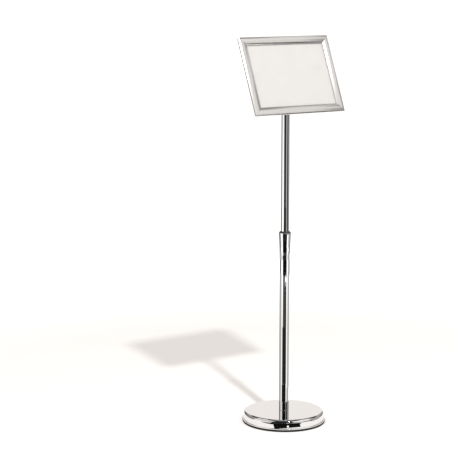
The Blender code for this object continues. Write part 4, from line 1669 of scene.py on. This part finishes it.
class STAND_OT_stage(bpy.types.Operator):
    """Pale floor, white room, key light, reflection cards and camera"""

    bl_idname = "stand.stage"
    bl_label = "Studio"

    def execute(self, context):
        sizes = context.scene.stand_stage
        self.floor()
        self.room(context.scene, sizes)
        self.key_light(sizes)
        self.cards(sizes)
        self.camera(context.scene, sizes)
        context.scene.view_settings.view_transform = "Standard"
        return {"FINISHED"}

    def floor(self):
        half_size = 60
        # Painted light: the floor glows from the first distance outwards and reaches full strength at the second,
        # so the far floor stays as bright as the floor under the key light.
        glow_start, glow_end = 1.2, 2.5
        painted_glow_level = 0.35
        shape = bmesh.new()
        bmesh.ops.create_grid(shape, x_segments=1, y_segments=1, size=half_size)
        material = bpy.data.materials.new("studio_floor")
        material.use_nodes = True
        tree = material.node_tree
        shader = tree.nodes["Principled BSDF"]
        shader.inputs["Base Color"].default_value = (0.78, 0.775, 0.77, 1.0)
        shader.inputs["Roughness"].default_value = 0.9
        shader.inputs["Specular IOR Level"].default_value = 0.0
        shader.inputs["Emission Strength"].default_value = 1.0
        place = add(tree, "ShaderNodeTexCoord").outputs["Object"]
        reach = add(tree, "ShaderNodeVectorMath", {0: place}, operation="LENGTH").outputs["Value"]
        painted_floor_glow = remap(tree, reach, glow_start, glow_end, 0.0, painted_glow_level)
        tree.links.new(painted_floor_glow, shader.inputs["Emission Color"])
        stage_piece("studio_floor", shape, material)

    def room(self, scene, sizes):
        scene.world = bpy.data.worlds.new("white_room")
        scene.world.use_nodes = True
        tree = scene.world.node_tree
        light = tree.nodes["Background"]
        light.inputs["Strength"].default_value = sizes.room
        seen = add(tree, "ShaderNodeLightPath").outputs["Is Camera Ray"]
        tints = {COLOUR_A: (*sizes.room_colour, 1.0), COLOUR_B: (1.0, 1.0, 1.0, 1.0)}
        mix = add(tree, "ShaderNodeMix", {"Factor": seen, **tints}, data_type="RGBA")
        tree.links.new(mix.outputs[COLOUR_OUT], light.inputs["Color"])

    def key_light(self, sizes):
        lamp = bpy.data.lights.new("key_light", "POINT")
        lamp.energy = sizes.key_power
        lamp.shadow_soft_size = sizes.key_radius
        obj = bpy.data.objects.new("key_light", lamp)
        obj.location = on_circle(sizes.key_side, sizes.key_distance, sizes.key_height)
        bpy.context.scene.collection.objects.link(obj)

    def cards(self, sizes):
        side = sizes.camera_side

        def sweep(start, end, distance, height):
            """Points along an arc round the post, between two sides seen from the camera's."""
            steps = 12
            sides = [start + (end - start) * step / steps for step in range(steps + 1)]
            return [on_circle(side + math.radians(turn), distance, height) for turn in sides]

        def level(name, start, end, near, far, height, brightness, push=(0, 0), from_below=False):
            """A level card between two sides and two distances, pushed ahead and across."""
            shift = on_circle(side, push[0]) + on_circle(side + math.pi / 2, push[1])
            corners = sweep(start, end, near, height) + sweep(end, start, far, height)
            card(name, [corner + shift for corner in corners], brightness, from_below)

        def wall(name, start, end, distance, low, high, brightness):
            """An upright card between two sides and two heights."""
            corners = sweep(start, end, distance, low) + sweep(end, start, distance, high)
            card(name, corners, brightness)

        ground = 0.0008
        level("near_floor_flag", -36, 41, 0.115, 0.18, ground, 0.006, (0.064, 0.022))
        level("post_floor_flag", -52, 38, 0.225, 0.45, 0.5 * ground, 0.012)
        level("middle_floor_flag", -47, 42, 0.45, 1.3, ground, 0.022)
        level("far_floor_flag", -36, 44, 1.3, 2.2, ground, 0.060)
        level("window_floor_card", 6.5, 10, 0.185, 0.212, 2 * ground, 1.4)
        wall("front_flag", -35, 14, 2.1, ground, 1.30, 0.03)
        wall("front_right_flag", 14, 23, 2.1, 0.12, 1.30, 0.03)
        wall("front_grey_card", 14, 53, 2.3, ground, 0.90, 0.50)
        wall("skirt", -42, 40, 0.96, 0.27, 0.43, 0.006)
        level("hood", -34, 30, 0.16, 0.96, 0.52, 0.02)
        wall("window", 7, 15, 2.0, 0.02, 0.22, 1.4)
        wall("right_flag", 53, 88, 2.4, 0.12, 0.90, 0.02)
        level("right_near_card", 64, 98, 0.215, 0.40, ground, 0.22)
        level("right_floor_card", 72, 130, 0.40, 2.4, ground, 0.52)
        wall("right_back_card", 88, 160, 2.4, ground, 1.9, 0.42)
        wall("right_low_flag", 122, 156, 2.35, ground, 0.55, 0.22)
        level("left_floor_card", -150, -80, 0.215, 2.4, ground, 0.52)
        level("left_floor_flag", -156, -132, 0.14, 2.4, 1.5 * ground, 0.10)
        wall("left_low_flag", -156, -130, 2.35, ground, 0.30, 0.06)
        wall("left_card", -152, -92, 2.4, 0.9, 2.1, 0.42)
        wall("left_back_flag", -152, -92, 2.4, ground, 0.9, 0.22)
        wall("left_high_card", -92, -20, 2.4, 1.3, 3.5, 0.60)
        level("ceiling_disc", -180, 180, 0.0, 1.4, 3.2, 0.35)
        level("ceiling_flag", 130, 230, 1.4, 4.4, 3.2, 0.42)
        level("right_ceiling_flag", 110, 130, 2.6, 4.4, 3.2, 0.35)
        level("left_ceiling_flag", 230, 250, 2.6, 4.4, 3.2, 0.35)
        level("low_disc", -180, 180, 0.0, 0.13, 0.5, 0.45, from_below=True)
        level("low_ring", -180, 180, 0.13, 0.22, 0.5, 0.02, from_below=True)
        level("low_flag", 130, 230, 0.22, 0.69, 0.5, 0.06, from_below=True)
        level("right_low_hood", 110, 130, 0.41, 0.69, 0.5, 0.03, from_below=True)
        level("left_low_hood", 230, 250, 0.41, 0.69, 0.5, 0.03, from_below=True)

    def camera(self, scene, sizes):
        data = bpy.data.cameras.new("camera")
        data.lens = sizes.camera_lens
        data.sensor_width = 36.0
        data.clip_start = 0.1
        data.clip_end = 200.0
        obj = bpy.data.objects.new("camera", data)
        obj.location = on_circle(sizes.camera_side, sizes.camera_distance, sizes.camera_height)
        heading = sizes.camera_side + sizes.camera_pan
        obj.rotation_euler = (math.pi / 2 - sizes.camera_pitch, 0, heading)
        scene.collection.objects.link(obj)
        scene.camera = obj


# Add-on -----------------------------------------------------------------------------------


OPERATORS = (
    STAND_OT_foot_ring,
    STAND_OT_base_shell,
    STAND_OT_weight,
    STAND_OT_tubes,
    STAND_OT_plugs,
    STAND_OT_clutch,
    STAND_OT_head_plug,
    STAND_OT_fork,
    STAND_OT_hinge,
    STAND_OT_knob,
    STAND_OT_turntable,
    STAND_OT_panel,
    STAND_OT_rails,
    STAND_OT_springs,
    STAND_OT_corner_keys,
    STAND_OT_stage,
)


class STAND_PT_sidebar(bpy.types.Panel):
    """Lists the stand's settings and the pieces to build"""

    bl_idname = "STAND_PT_sidebar"
    bl_label = "Sign stand"
    bl_space_type = "VIEW_3D"
    bl_region_type = "UI"
    bl_category = "Sign stand"

    def draw(self, context):
        layout = self.layout
        for operator in OPERATORS:
            layout.operator(operator.bl_idname)
        for attribute in SETTINGS:
            settings = getattr(context.scene, attribute)
            box = layout.box()
            for key in settings.__annotations__:
                box.prop(settings, key)


def register():
    for attribute, settings in SETTINGS.items():
        bpy.utils.register_class(settings)
        setattr(bpy.types.Scene, attribute, PointerProperty(type=settings))
    for operator in OPERATORS:
        bpy.utils.register_class(operator)
    bpy.utils.register_class(STAND_PT_sidebar)


def unregister():
    bpy.utils.unregister_class(STAND_PT_sidebar)
    for operator in reversed(OPERATORS):
        bpy.utils.unregister_class(operator)
    for attribute, settings in SETTINGS.items():
        delattr(bpy.types.Scene, attribute)
        bpy.utils.unregister_class(settings)


def main():
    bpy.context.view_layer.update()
    register()
    for operator in OPERATORS:
        module, name = operator.bl_idname.split(".")
        getattr(getattr(bpy.ops, module), name)()


if __name__ == "__main__":
    main()
